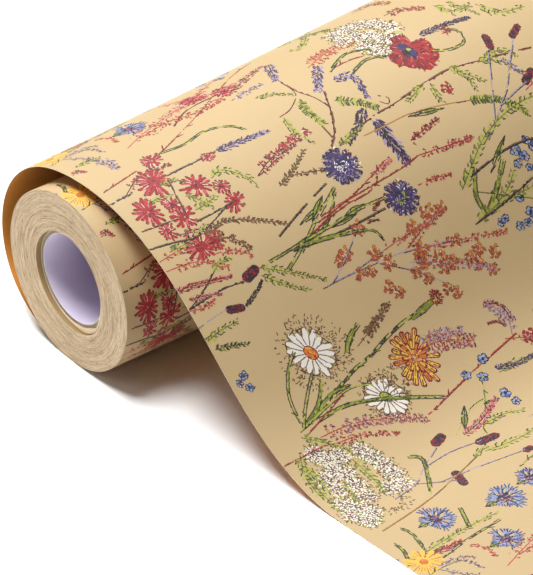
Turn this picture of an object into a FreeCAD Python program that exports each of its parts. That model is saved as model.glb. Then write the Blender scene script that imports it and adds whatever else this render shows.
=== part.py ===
import FreeCAD, Part
import math
import os

# Wrapping paper roll, millimetres.
# +X runs along the roll's axis, +Z is up and the pulled-off sheet runs towards -Y.
# The origin is the middle of the core's bore axis; the roll stands on z = -PACK_R.

V = FreeCAD.Vector

# ---- driving dimensions ----
PAPER_W = 432.0          # width of the paper web (17 in)
PACK_R = 25.5            # outside radius of the wound pack (2 in roll)
BORE_R = 12.7            # inside radius of the core (1 in rod)
LINER_T = 0.20           # lining paper glued inside the core
BOARD_T = 0.35           # each grey board ply
COVER_T = 0.20           # outer ply of the core
CORE_RECESS = 1.5        # the core ends this far inside the paper's ends
TAPE_T = 0.20            # double-sided starter tape
TAPE_W_DEG = 56.0        # arc that the tape covers, at the bottom of the core
TAPE_END_GAP = 8.0       # tape stops this far short of the core's ends
TURN_T = 0.30            # first turn of paper, drawn thicker than the real 0.12
TURN_GAP_DEG = 9.0       # slit between the first turn's two edges
TURN_RECESS = 0.4        # the first turn ends a little inside the pack's ends
SHEET_T = 0.30           # loose paper, drawn thicker than the real 0.12
SKEW_1 = 0.040           # the sheet runs off the roll askew: SKEW_1 s + SKEW_2 s s
SKEW_2 = 0.00008
SKEW_S = 12.0            # path length already askew at the start of the loose turn
FLARE_MID = 8.0          # how much looser the top turn is FLARE_X from the near end
FLARE_FAR = 14.0         # and at the far end
FLARE_X = 130.0
FLARE_S0 = 16.0          # path length where the flare starts, and where it has died out
FLARE_S1 = 196.0
HINGE_U = 112.0          # where the flat free end starts to lift
HINGE_GAP = 0.4
FREE_END_U = 216.0       # cut edge of the sheet, at the near side

HALF = PAPER_W / 2.0
FLOOR = -PACK_R

# Middle line of the loose turn and the drape in the plane across the axis,
# as (distance towards -Y, height).  It hugs the pack, leaves it at the lower left,
# goes loosely over the top and comes down to the floor.
ROUTE = [
    (-6.72, -25.07), (-12.90, -23.45), (-20.30, -20.40), (-26.90, -15.00),
    (-31.00, -7.60), (-32.40, 0.70), (-31.10, 9.30), (-27.10, 17.10),
    (-21.00, 23.00), (-13.30, 26.80), (-5.00, 28.50), (4.20, 28.70),
    (13.30, 27.40), (21.90, 24.60), (29.50, 20.70), (36.70, 15.60),
    (43.40, 9.60), (49.80, 3.20), (55.90, -3.10), (62.10, -9.20),
    (68.70, -14.60), (76.00, -19.20), (83.90, -22.70), (92.00, -24.65),
    (100.00, -25.25), (106.00, -25.34), (112.00, -25.35),
]
TOP_INDEX = 11           # route point where the loose turn becomes the drape

os.makedirs("parts", exist_ok=True)


def save(shape, name):
    shape.exportStep("parts/" + name + ".step")


def tube(r_in, r_out, x0, x1):
    outer = Part.makeCylinder(r_out, x1 - x0, V(x0, 0, 0), V(1, 0, 0))
    inner = Part.makeCylinder(r_in, x1 - x0 + 2.0, V(x0 - 1.0, 0, 0), V(1, 0, 0))
    return outer.cut(inner)


def sector(r_in, r_out, x0, x1, deg0, deg1):
    """Part of a tube between two angles, measured from -Y towards +Z."""
    def pt(r, deg):
        a = math.radians(deg)
        return V(x0, -r * math.cos(a), r * math.sin(a))
    mid = 0.5 * (deg0 + deg1)
    outer = Part.Arc(pt(r_out, deg0), pt(r_out, mid), pt(r_out, deg1)).toShape()
    inner = Part.Arc(pt(r_in, deg0), pt(r_in, mid), pt(r_in, deg1)).toShape()
    side0 = Part.LineSegment(pt(r_in, deg0), pt(r_out, deg0)).toShape()
    side1 = Part.LineSegment(pt(r_in, deg1), pt(r_out, deg1)).toShape()
    face = Part.Face(Part.Wire([side0, outer, side1, inner]))
    return face.extrude(V(x1 - x0, 0, 0))


# ---- core: a paper tube wound from four plies ----
core_x0, core_x1 = -HALF + CORE_RECESS, HALF - CORE_RECESS
r = BORE_R
for name, t in (("core_liner_ply", LINER_T), ("core_board_ply_inner", BOARD_T),
                ("core_board_ply_outer", BOARD_T), ("core_cover_ply", COVER_T)):
    save(tube(r, r + t, core_x0, core_x1), name)
    r += t
CORE_R = r

# ---- starter tape and the first turn of paper ----
tape_mid = 292.0
save(sector(CORE_R, CORE_R + TAPE_T, core_x0 + TAPE_END_GAP, core_x1 - TAPE_END_GAP,
            tape_mid - TAPE_W_DEG / 2, tape_mid + TAPE_W_DEG / 2), "starter_tape")
turn_r0 = CORE_R + TAPE_T
turn_r1 = turn_r0 + TURN_T
slit = tape_mid + TAPE_W_DEG / 2 + 4.0
save(sector(turn_r0, turn_r1, -HALF + TURN_RECESS, HALF - TURN_RECESS,
            slit + TURN_GAP_DEG, slit + 360.0), "paper_first_turn")

# ---- wound pack: about 75 turns, as one tube ----
save(tube(turn_r1, PACK_R, -HALF, HALF), "paper_wound_pack")


# ---- loose turn and drape ----
def sample_route(n=96):
    curve = Part.BSplineCurve()
    curve.interpolate([V(0, u, w) for u, w in ROUTE])
    marks = [curve.parameter(V(0, u, w)) for u, w in ROUTE]
    first, last = curve.FirstParameter, curve.LastParameter
    params = sorted(set([first + (last - first) * i / n for i in range(n + 1)] + [marks[TOP_INDEX]]))
    top = params.index(marks[TOP_INDEX])
    pts = [curve.value(p) for p in params]
    return [(p.y, p.z) for p in pts], top


def flare(d):
    """How far the loose turn stands out, d from the near end of the web."""
    if d <= FLARE_X:
        return FLARE_MID * d / FLARE_X
    return FLARE_MID + (FLARE_FAR - FLARE_MID) * (d - FLARE_X) / (PAPER_W - FLARE_X)


def bump(s):
    if s <= FLARE_S0 or s >= FLARE_S1:
        return 0.0
    return math.sin(math.pi * (s - FLARE_S0) / (FLARE_S1 - FLARE_S0)) ** 2


base, top_i = sample_route()
path = [0.0]
for (u0, w0), (u1, w1) in zip(base, base[1:]):
    path.append(path[-1] + math.hypot(u1 - u0, w1 - w0))
s_hinge = path[-1]
FLOOR_SKEW = SKEW_1 + 2 * SKEW_2 * (s_hinge + SKEW_S)


def skew(s):
    """How far along the roll's axis the sheet has run, s along its path."""
    if s > s_hinge:
        return skew(s_hinge) + FLOOR_SKEW * (s - s_hinge)
    return SKEW_1 * (s + SKEW_S) + SKEW_2 * (s + SKEW_S) ** 2


def section(d):
    """Inner and outer lines of the sheet, d from the near edge of the web."""
    f = flare(d)
    mid = []
    for (u, w), s in zip(base, path):
        rr = math.hypot(u, w)
        k = 1.0 + f * bump(s) / rr
        mid.append((u * k, w * k))
    inner, outer = [], []
    n = len(mid)
    for i in range(n):
        a, b = mid[max(i - 1, 0)], mid[min(i + 1, n - 1)]
        tu, tw = b[0] - a[0], b[1] - a[1]
        length = math.hypot(tu, tw)
        nu, nw = tw / length, -tu / length      # to the right of the path: towards the pack
        if i == n - 1:
            nu, nw = 0.0, -1.0
        x = -HALF + d + skew(path[i])
        u, w = mid[i]
        h = SHEET_T / 2
        inner.append(V(x, -(u + nu * h), w + nw * h))
        outer.append(V(x, -(u - nu * h), w - nw * h))
        for p in (inner[-1], outer[-1]):        # nothing below the floor
            p.z = max(p.z, FLOOR)
    length = 0.0
    for (u0, w0), (u1, w1) in zip(mid, mid[1:]):
        length += math.hypot(u1 - u0, w1 - w0)
    return inner, outer, length


def spline(points):
    c = Part.BSplineCurve()
    c.interpolate(points)
    return c.toShape()


def sheet_solid(sections, i0, i1):
    """Closed solid through the sections, between two places on the path."""
    inner = [spline(s[0][i0:i1 + 1]) for s in sections]
    outer = [spline(s[1][i0:i1 + 1]) for s in sections]
    faces = []
    for a, b in zip(range(len(sections) - 1), range(1, len(sections))):
        faces.append(Part.makeRuledSurface(inner[a], inner[b]))
        faces.append(Part.makeRuledSurface(outer[a], outer[b]))
        for i in (i0, i1):
            e0 = Part.LineSegment(sections[a][0][i], sections[a][1][i]).toShape()
            e1 = Part.LineSegment(sections[b][0][i], sections[b][1][i]).toShape()
            faces.append(Part.makeRuledSurface(e0, e1))
    for k in (0, len(sections) - 1):
        faces.append(Part.makeRuledSurface(inner[k], outer[k]))
    shell = Part.makeShell(faces)
    shell.sewShape()
    solid = Part.Solid(Part.Shell(shell.Faces))
    if solid.Volume < 0:
        solid.reverse()
    return solid


sections = [section(d) for d in (0.0, FLARE_X, PAPER_W)]
last = len(base) - 1
loose = sheet_solid(sections, 0, top_i)
drape = sheet_solid(sections, top_i, last)
save(loose, "paper_loose_turn")
save(drape, "paper_draped_sheet")

# ---- free end, flat on the floor; its cut edge is square to the web's edges ----
near_len = sections[0][2]
far_len = sections[2][2]
u0 = HINGE_U + HINGE_GAP


def floor_point(side, u, z):
    x = (-HALF if side == 0 else HALF) + skew(s_hinge + u - HINGE_U)
    return V(x, -u, z)


end_near = FREE_END_U
end_far = FREE_END_U - PAPER_W * FLOOR_SKEW
outline = [floor_point(0, u0, FLOOR), floor_point(1, u0, FLOOR),
           floor_point(1, end_far, FLOOR), floor_point(0, end_near, FLOOR)]
free_end = Part.Face(Part.makePolygon(outline + [outline[0]])).extrude(V(0, 0, SHEET_T))
save(free_end, "paper_free_end")

print("web path to the hinge line: near %.1f, far %.1f mm" % (near_len, far_len))
print("free end reaches u = %.1f near, %.1f far; web length off the roll %.1f mm"
      % (end_near, end_far, near_len + end_near - HINGE_U))
for n, sh in (("loose", loose), ("drape", drape), ("free end", free_end)):
    print(n, sh.isValid(), sh.ShapeType, round(sh.Volume, 1), len(sh.Faces), sh.BoundBox)
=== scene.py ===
import math
import random

import bpy
import numpy as np
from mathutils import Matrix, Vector


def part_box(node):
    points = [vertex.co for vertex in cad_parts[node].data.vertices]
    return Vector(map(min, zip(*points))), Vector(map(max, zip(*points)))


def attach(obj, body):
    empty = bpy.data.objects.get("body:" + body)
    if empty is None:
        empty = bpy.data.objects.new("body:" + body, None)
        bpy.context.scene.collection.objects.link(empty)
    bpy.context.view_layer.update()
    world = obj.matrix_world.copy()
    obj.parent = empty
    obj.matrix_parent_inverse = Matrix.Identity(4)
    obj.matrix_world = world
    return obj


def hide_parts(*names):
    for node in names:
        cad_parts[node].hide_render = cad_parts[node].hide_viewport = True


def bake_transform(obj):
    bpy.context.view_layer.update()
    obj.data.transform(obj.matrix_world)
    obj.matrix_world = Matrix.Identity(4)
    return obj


# Wrapping paper roll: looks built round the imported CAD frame.  Metres; lengths in mm are scaled by MM.
# X is the roll's axis (near end at -X), the sheet runs towards -Y and +Z is up.

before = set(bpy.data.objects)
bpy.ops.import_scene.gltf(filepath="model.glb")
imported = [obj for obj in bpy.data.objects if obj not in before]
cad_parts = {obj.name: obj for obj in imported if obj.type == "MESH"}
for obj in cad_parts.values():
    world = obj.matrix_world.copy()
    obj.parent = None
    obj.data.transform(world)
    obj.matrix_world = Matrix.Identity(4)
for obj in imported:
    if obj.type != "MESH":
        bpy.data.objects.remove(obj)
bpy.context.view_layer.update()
MM = 0.001
PACK_LO, PACK_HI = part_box("paper_wound_pack")
HALF = (PACK_HI.x - PACK_LO.x) / 2 / MM          # 216
PACK_R = (PACK_HI.z - PACK_LO.z) / 2 / MM        # 25.5
FLOOR = PACK_LO.z / MM                           # -25.5
WEB_W = 2 * HALF

# ------------------------------------------------------------------ the sheet's surface
ROUTE = [
    (-6.72, -25.07), (-12.90, -23.45), (-20.30, -20.40), (-26.90, -15.00),
    (-31.00, -7.60), (-32.40, 0.70), (-31.10, 9.30), (-27.10, 17.10),
    (-21.00, 23.00), (-13.30, 26.80), (-5.00, 28.50), (4.20, 28.70),
    (13.30, 27.40), (21.90, 24.60), (29.50, 20.70), (36.70, 15.60),
    (43.40, 9.60), (49.80, 3.20), (55.90, -3.10), (62.10, -9.20),
    (68.70, -14.60), (76.00, -19.20), (83.90, -22.70), (92.00, -24.65),
    (100.00, -25.25), (106.00, -25.34), (112.00, -25.35),
]
HINGE_U = 112.0
FREE_U = 216.0
T_SHEET = 0.14           # drawn thickness of the paper


def cubic(x, y, xi):
    """Not-a-knot cubic spline through (x, y), at xi."""
    n = len(x)
    h = np.diff(x)
    a, b = np.zeros((n, n)), np.zeros(n)
    for i in range(1, n - 1):
        a[i, i - 1], a[i, i], a[i, i + 1] = h[i - 1], 2 * (h[i - 1] + h[i]), h[i]
        b[i] = 6 * ((y[i + 1] - y[i]) / h[i] - (y[i] - y[i - 1]) / h[i - 1])
    a[0, 0], a[0, 1], a[0, 2] = h[1], -(h[0] + h[1]), h[0]
    a[-1, -1], a[-1, -2], a[-1, -3] = h[-2], -(h[-1] + h[-2]), h[-1]
    m = np.linalg.solve(a, b)
    i = np.clip(np.searchsorted(x, xi) - 1, 0, n - 2)
    t0, t1, hh = xi - x[i], x[i + 1] - xi, h[i]
    return ((m[i] * t1 ** 3 + m[i + 1] * t0 ** 3) / (6 * hh)
            + (y[i] / hh - m[i] * hh / 6) * t1 + (y[i + 1] / hh - m[i + 1] * hh / 6) * t0)


_r = np.array(ROUTE)
_c = np.r_[0, np.cumsum(np.hypot(*np.diff(_r, axis=0).T))]
_t = np.linspace(0, _c[-1], 900)
RU, RW = cubic(_c, _r[:, 0], _t), np.maximum(cubic(_c, _r[:, 1], _t), -25.36)
RS = np.r_[0, np.cumsum(np.hypot(np.diff(RU), np.diff(RW)))]
SH = float(RS[-1])
SKEW_FLOOR = 0.04 + 0.00016 * (SH + 12)


def skew(s):
    q = s + 12.0
    e = SH + 12.0
    return np.where(s <= SH, 0.04 * q + 0.00008 * q * q,
                    0.04 * e + 0.00008 * e * e + SKEW_FLOOR * (s - SH))


def route(s):
    u, w = np.interp(s, RS, RU), np.interp(s, RS, RW)
    # before the start of the loose turn the paper lies on the pack
    phi = math.radians(255.0) - s / PACK_R
    rr = PACK_R + 0.11 + np.clip(1 + s / 2.0, 0, 1) * 0.34
    u = np.where(s < 0, rr * np.cos(phi), u)
    w = np.where(s < 0, np.maximum(rr * np.sin(phi), FLOOR + 0.08), w)
    return np.where(s > SH, HINGE_U + s - SH, u), np.where(s > SH, -25.35, w)


def surf(xw, s):
    """Middle of the paper: xw across the web from the near edge, s along it, in mm."""
    u, w = route(s)
    f = np.where(xw <= 130.0, 8.0 * xw / 130.0, 8.0 + 6.0 * (xw - 130.0) / (WEB_W - 130.0))
    b = np.where((s <= 16) | (s >= 196), 0.0, np.sin(math.pi * (s - 16.0) / 180.0) ** 2)
    k = 1 + f * b / np.hypot(u, w)
    # faint hand-rolled unevenness, nothing at the hinge line and beyond
    wave = 0.16 * np.sin(xw / 19.0 + s / 31.0) + 0.12 * np.sin(xw / 41.0 - s / 17.0 + 1.3)
    k = k + wave * b / np.hypot(u, w)
    return np.stack([-HALF + xw + skew(s), -u * k, w * k], -1)


# ------------------------------------------------------------------ the print
# The print is drawn as short tapered strokes in the paper's own flat coordinates, in mm:
# x across the web, y along it.  Each face of the paper carries the strokes that cross it.
INKS = {
    "paper": (0.0, 0.0, 0.0), "navy": (0.010, 0.009, 0.022), "dark": (0.022, 0.013, 0.010),
    "brown": (0.075, 0.032, 0.016), "dkgreen": (0.014, 0.024, 0.012), "green": (0.158, 0.180, 0.028),
    "lime": (0.300, 0.315, 0.048), "olive": (0.085, 0.082, 0.022), "red": (0.262, 0.010, 0.016),
    "maroon": (0.070, 0.005, 0.014), "rose": (0.340, 0.026, 0.044), "pink": (0.450, 0.150, 0.160),
    "coral": (0.340, 0.066, 0.028), "orange": (0.500, 0.150, 0.025), "yellow": (0.600, 0.360, 0.055),
    "white": (0.640, 0.610, 0.560), "cream": (0.580, 0.500, 0.370), "lav": (0.240, 0.195, 0.310),
    "lavd": (0.085, 0.062, 0.120), "blue": (0.060, 0.105, 0.300), "lblue": (0.200, 0.260, 0.400),
    "dblue": (0.014, 0.016, 0.085), "purple": (0.055, 0.024, 0.100), "burn": (0.160, 0.007, 0.018),
    "mauve": (0.240, 0.110, 0.180), "stip": (0.130, 0.066, 0.032), "violet": (0.030, 0.024, 0.095), "ochre": (0.280, 0.130, 0.022),
}
INK_NAMES = list(INKS)
INK_ID = {n: i for i, n in enumerate(INK_NAMES)}
STROKES = []
RND = random.Random(20)


DARK_INKS = ("navy", "dark", "dkgreen", "maroon", "brown", "stip", "burn", "dblue", "olive")


def cap(x0, y0, x1, y1, w0, w1, ink):
    if ink in DARK_INKS:                     # the printed line work has a least width
        w0, w1 = max(w0, 0.17), max(w1, 0.145)
    STROKES.append((x0, y0, x1, y1, w0, w1, INK_ID[ink]))


def dot(x, y, r, ink):
    cap(x, y, x, y, r, r, ink)


def polar(c, a, r):
    return c[0] + r * math.cos(a), c[1] + r * math.sin(a)


def ray(c, a, r0, r1, w0, w1, ink):
    cap(*polar(c, a, r0), *polar(c, a, r1), w0, w1, ink)


def curve(pts, n=4):
    """Catmull-Rom through pts."""
    if len(pts) < 3:
        return [(pts[0][0] + (pts[-1][0] - pts[0][0]) * i / n, pts[0][1] + (pts[-1][1] - pts[0][1]) * i / n)
                for i in range(n + 1)]
    p = [pts[0], *pts, pts[-1]]
    out = []
    for i in range(1, len(p) - 2):
        for k in range(n):
            t = k / n
            out.append(tuple(
                0.5 * (2 * p[i][j] + (p[i + 1][j] - p[i - 1][j]) * t
                       + (2 * p[i - 1][j] - 5 * p[i][j] + 4 * p[i + 1][j] - p[i + 2][j]) * t * t
                       + (3 * p[i][j] - p[i - 1][j] - 3 * p[i + 1][j] + p[i + 2][j]) * t ** 3) for j in (0, 1)))
    return out + [tuple(pts[-1])]


def walk(pts, step):
    """(x, y, direction, share of the length) every step mm along a curve."""
    c = curve(pts, 6)
    seg = [math.hypot(b[0] - a[0], b[1] - a[1]) for a, b in zip(c, c[1:])]
    total = sum(seg)
    out, at, i, done = [], step * 0.5, 0, 0.0
    while at < total:
        while i < len(seg) - 1 and done + seg[i] < at:
            done += seg[i]
            i += 1
        t = (at - done) / max(seg[i], 1e-6)
        a, b = c[i], c[i + 1]
        out.append((a[0] + (b[0] - a[0]) * t, a[1] + (b[1] - a[1]) * t,
                    math.atan2(b[1] - a[1], b[0] - a[0]), at / total))
        at += step * RND.uniform(0.8, 1.2)
    return out


def line(pts, w0, w1, ink, skip=0.0, side=0.0):
    c = curve(pts)
    n = len(c) - 1
    for i in range(n):
        if RND.random() < skip:
            continue
        (ax, ay), (bx, by) = c[i], c[i + 1]
        d = math.hypot(bx - ax, by - ay) or 1.0
        ox, oy = -(by - ay) / d * side, (bx - ax) / d * side
        cap(ax + ox, ay + oy, bx + ox, by + oy, w0 + (w1 - w0) * i / n, w0 + (w1 - w0) * (i + 1) / n, ink)


def stem(pts, w, ink):
    w = w * 0.80
    if ink in ("navy", "maroon", "dark"):
        line(pts, w, w * 0.7, ink, 0.05)
        line(pts, 0.09, 0.08, "stip", 0.45, -w * 1.25)
    else:
        edge = "maroon" if ink == "red" else "navy"
        if w > 0.26 and ink != "red":
            line(pts, 0.17, 0.14, edge, 0.12, w * 1.05)
            line(pts, 0.15, 0.12, edge, 0.30, -w * 1.05)
        else:
            line(pts, 0.15, 0.12, edge, 0.22, w * 0.9)
        for x, y, a, t in walk(pts, 0.85):
            if RND.random() < 0.9:
                k = ink if RND.random() < 0.45 or ink in ("red", "lav", "brown") else "lime"
                cap(x, y, *polar((x, y), a + RND.uniform(-0.25, 0.25), 0.55), w * 0.8, w * 0.6, k)
    if ink in ("navy", "maroon", "dark"):
        for x, y, a, t in walk(pts, 1.6):
            if RND.random() < 0.5:
                q = polar((x, y), a + RND.choice((1.3, -1.3)), w * 1.1)
                cap(*q, *polar(q, a, 0.5), 0.12, 0.10, "navy" if ink == "navy" else "maroon")
    # a few small bracts
    for x, y, a, t in walk(pts, 7.0):
        if RND.random() < 0.55 and ink not in ("navy", "maroon", "lav"):
            b = a + RND.choice((1, -1)) * RND.uniform(0.4, 0.8)
            k = RND.uniform(1.0, 2.2)
            mid, tip = polar((x, y), b, k * 0.6), polar((x, y), b, k)
            cap(x, y, *mid, 0.10, 0.26, "green" if ink != "red" else "red")
            cap(*mid, *tip, 0.26, 0.06, "lime" if ink != "red" else "rose")
            cap(*polar((x, y), b + 1.57, 0.18), *tip, 0.11, 0.10, "navy" if ink != "red" else "maroon")


def tendril(pts):
    line(pts, 0.17, 0.13, "maroon", 0.08)


def vein(pts):
    line(pts, 0.19, 0.15, "ochre", 0.05)
    line(pts, 0.09, 0.08, "brown", 0.60, 0.15)


def blade(pts, w):
    mid = curve(pts)
    n = len(mid) - 1
    for i in range(n):
        t = (i + 0.5) / n
        h = w * math.sin(math.pi * min(1, t * 0.95 + 0.05)) ** 0.7 * 0.62
        cap(*mid[i], *mid[i + 1], h, h, "green")
    for x, y, a, t in walk(pts, 0.8):
        h = w * math.sin(math.pi * min(1, t * 0.95 + 0.05)) ** 0.7 * 0.5
        q = polar((x, y), a + 1.57, RND.uniform(-1, 1) * h)
        pick = RND.random()
        cap(*q, *polar(q, a + RND.uniform(-0.3, 0.3), RND.uniform(0.5, 1.2)), 0.19, 0.12,
            "lime" if pick < 0.55 else "dkgreen" if pick < 0.80 else "olive")
    for sgn in (1, -1):
        line(pts, 0.17, 0.15, "navy" if sgn > 0 else "dkgreen", 0.18, sgn * w * 0.56)


def leaf(p0, p1, w, ink="green"):
    mx, my = (p0[0] + p1[0]) / 2, (p0[1] + p1[1]) / 2
    cap(*p0, mx, my, 0.1, w / 2, ink)
    cap(mx, my, *p1, w / 2, 0.05, ink)
    a = math.atan2(p1[1] - p0[1], p1[0] - p0[0])
    nx, ny = -math.sin(a), math.cos(a)
    for _ in range(int(6 + w * 4)):
        t = RND.uniform(0.15, 0.8)
        h = w * 0.42 * math.sin(math.pi * t) * RND.uniform(-1, 1)
        q = (p0[0] + (p1[0] - p0[0]) * t + nx * h, p0[1] + (p1[1] - p0[1]) * t + ny * h)
        cap(*q, *polar(q, a + RND.uniform(-0.4, 0.4), RND.uniform(0.5, 1.0)), 0.17, 0.10, "lime" if RND.random() < 0.7 else "dkgreen")
    for sgn in (1, -1):
        line([p0, (mx + sgn * nx * w * 0.52, my + sgn * ny * w * 0.52), p1], 0.17, 0.13, "navy" if sgn > 0 else "dkgreen", 0.12)
    cap(*p0, *p1, 0.13, 0.10, "dkgreen")


def sprig(pts, size, ink):
    second = {"green": "lime", "lime": "green", "brown": "stip", "dkgreen": "green"}[ink]
    edge = {"brown": "maroon"}.get(ink, "navy")
    line(pts, 0.18, 0.12, "olive" if ink != "brown" else "brown", 0.05)
    sgn = 1
    for x, y, a, t in walk(pts, size * 0.36):
        sgn = -sgn
        b = a + sgn * RND.uniform(0.40, 1.0)
        k = size * RND.uniform(0.7, 1.15) * (1.05 - 0.45 * t)
        tip = polar((x, y), b, k)
        mid = polar((x, y), b, k * 0.55)
        leafy = ink if RND.random() < 0.35 else (second if ink != "lime" else "lime")
        cap(x, y, *mid, 0.08, 0.24 * k + 0.06, leafy)
        cap(*mid, *tip, 0.24 * k + 0.06, 0.05, leafy if RND.random() < 0.7 else second)
        off = polar(mid, b + sgn * 1.57, 0.24 * k)
        if RND.random() < 0.62:
            cap(*off, *tip, 0.10, 0.08, edge if RND.random() < 0.5 else "olive")
        if RND.random() < 0.45:
            cap(x, y, *off, 0.08, 0.10, edge if RND.random() < 0.4 else "olive")


def pinn(pts, size):
    line(pts, 0.14, 0.10, "olive", 0.05)
    for x, y, a, t in walk(pts, size * 0.36):
        for sgn in (1, -1):
            b = a + sgn * RND.uniform(1.0, 1.35)
            k = size * (1.05 - 0.4 * t) * RND.uniform(0.8, 1.15)
            tip = polar((x, y), b, k)
            cap(*polar((x, y), b, k * 0.15), *tip, 0.17, 0.24, "lime" if RND.random() < 0.68 else "green")
            if RND.random() < 0.62:
                cap(*polar((x, y), b + 0.2, k * 0.2), *polar((x, y), b + 0.16, k * 1.05), 0.09, 0.09, "navy" if RND.random() < 0.4 else "dkgreen")


def spike(pts, width, ink, ink2):
    line(pts, 0.15, 0.10, "navy", 0.1)
    sgn = 1
    for x, y, a, t in walk(pts, max(0.24, width * 0.12)):
        sgn = -sgn
        h = width * 0.5 * (1.0 - 0.65 * t) * (0.55 + 0.45 * min(1, t * 6))
        for q in (1, -1):
            off = polar((x, y), a + q * sgn * 1.57, h * RND.uniform(0.12, 0.9))
            k = width * RND.uniform(0.14, 0.26)
            tip = polar(off, a + q * sgn * RND.uniform(0.2, 0.9), k)
            cap(*off, *tip, width * 0.085, width * 0.06, ink if RND.random() < 0.6 else ink2)
            if RND.random() < 0.5:
                cap(*polar(off, a + 1.57, 0.14), *polar(tip, a + 1.57, 0.14), 0.09, 0.08, "navy" if ink not in ("red", "pink", "coral", "mauve") else "maroon")
            if RND.random() < 0.14:
                dot(*polar(off, a, 0.2), 0.13, "cream")


def spray(pts, ink, ink2, width, n):
    line(pts, 0.17, 0.12, ink2 if ink2 not in ("pink",) else "red", 0.10)
    c = walk(pts, 0.5)
    if not c:
        return
    for _ in range(int(n * 2.3)):
        x, y, a, t = c[min(len(c) - 1, int(len(c) * (0.10 + 0.90 * RND.random() ** 0.8)))]
        h = width * 0.5 * (1.05 - 0.55 * t)
        off = polar((x, y), a + RND.choice((1, -1)) * RND.uniform(0.9, 1.9), h * RND.random() ** 0.7)
        if RND.random() < 0.35:
            cap(x, y, *off, 0.10, 0.08, ink2)
        for _k in range(RND.choice((2, 3, 3))):
            b = RND.uniform(0, 6.28)
            cap(*off, *polar(off, b, RND.uniform(0.15, 0.50)), RND.uniform(0.15, 0.25), 0.10, ink if RND.random() < 0.6 else ink2)
        if RND.random() < 0.75:
            q = polar(off, RND.uniform(0, 6.28), 0.30)
            cap(*q, *polar(q, RND.uniform(0, 6.28), 0.30), 0.13, 0.10, "maroon" if RND.random() < 0.6 else "dark" if RND.random() < 0.5 else "stip")


def dots(c, r, ink):
    for i in range(11):
        p = polar(c, i * 2.4 + RND.uniform(-0.4, 0.4), r * 0.86 * math.sqrt((i + RND.uniform(0.1, 0.9)) / 11))
        q = polar(p, RND.uniform(0, 6.28), r * 0.22)
        cap(*p, *q, r * 0.17 + 0.10, r * 0.12 + 0.10, "burn" if i % 2 else "brown")
        cap(*p, *q, r * 0.15 + 0.02, r * 0.10 + 0.02, ink if i % 5 else ("red" if ink != "coral" else "orange"))
    for _ in range(7):
        p = polar(c, RND.uniform(0, 6.28), r * 0.95 * math.sqrt(RND.random()))
        cap(*p, *polar(p, RND.uniform(0, 6.28), 0.35), 0.12, 0.10, ("maroon", "brown", "cream")[int(RND.random() * 3)])


def fmn(c, r):
    turn, flat = RND.uniform(0, 6.28), RND.uniform(0.7, 1.0)
    petals = []
    for i in range(5):
        a = i * 1.257 + RND.uniform(-0.25, 0.25)
        k = r * RND.uniform(0.45, 0.62)
        x, y = k * math.cos(a), k * math.sin(a) * flat
        petals.append((c[0] + x * math.cos(turn) - y * math.sin(turn), c[1] + x * math.sin(turn) + y * math.cos(turn)))
    for i, p in enumerate(petals):
        dot(*p, r * 0.42, "navy" if i % 2 else "dblue")
    for i, p in enumerate(petals):
        cap(*p, *polar(p, RND.uniform(0, 6.28), r * 0.15), r * RND.uniform(0.22, 0.31), r * 0.2, ("lblue", "lav", "lblue", "blue", "lblue")[i])
        if RND.random() < 0.5:
            dot(*polar(p, RND.uniform(0, 6.28), r * 0.15), 0.12, "white")
        q = polar(p, RND.uniform(0, 6.28), r * 0.3)
        cap(*q, *polar(q, RND.uniform(0, 6.28), 0.4), 0.13, 0.10, "navy")
    dot(*c, r * 0.2, "navy" if RND.random() < 0.7 else "lime")


def oval(p0, p1, width, ink, ink2):
    a = math.atan2(p1[1] - p0[1], p1[0] - p0[0])
    length = math.hypot(p1[0] - p0[0], p1[1] - p0[1])
    c = ((p0[0] + p1[0]) / 2, (p0[1] + p1[1]) / 2)
    e = max(0.05, length / 2 - width / 2)
    cap(*polar(c, a, -e), *polar(c, a, e), width * 0.50, width * 0.46, ink2)
    for _ in range(int(4.2 * length * width)):
        u, v = RND.uniform(-1, 1), RND.uniform(-1, 1)
        if u * u + v * v > 1:
            continue
        p = polar(polar(c, a, u * length / 2), a + 1.57, v * width / 2)
        pick = RND.random()
        cap(*p, *polar(p, RND.uniform(0, 6.28), 0.25), 0.18, 0.12, ink if pick < 0.55 else "red" if pick < 0.72 else "rose" if pick < 0.77 else ink2)


def bud(p0, p1, w, ink):
    a = math.atan2(p1[1] - p0[1], p1[0] - p0[0])
    n = math.hypot(p1[0] - p0[0], p1[1] - p0[1])
    mid = polar(p0, a, n * 0.5)
    cap(*p0, *mid, w * 0.34, w * 0.62, "navy" if ink == "green" else "maroon")
    cap(*mid, *p1, w * 0.62, w * 0.46, "navy" if ink == "green" else "maroon")
    cap(*p0, *mid, w * 0.22, w * 0.46, ink)
    cap(*mid, *p1, w * 0.46, w * 0.34, ink)
    for _ in range(12):
        q = polar(polar(p0, a, n * RND.uniform(0.1, 0.95)), a + 1.57, w * RND.uniform(-0.45, 0.45))
        cap(*q, *polar(q, a + RND.uniform(-0.4, 0.4), 0.6), 0.16, 0.11, ("lime", "navy", "dkgreen", "lime")[int(RND.random() * 4)] if ink == "green" else "rose")


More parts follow.
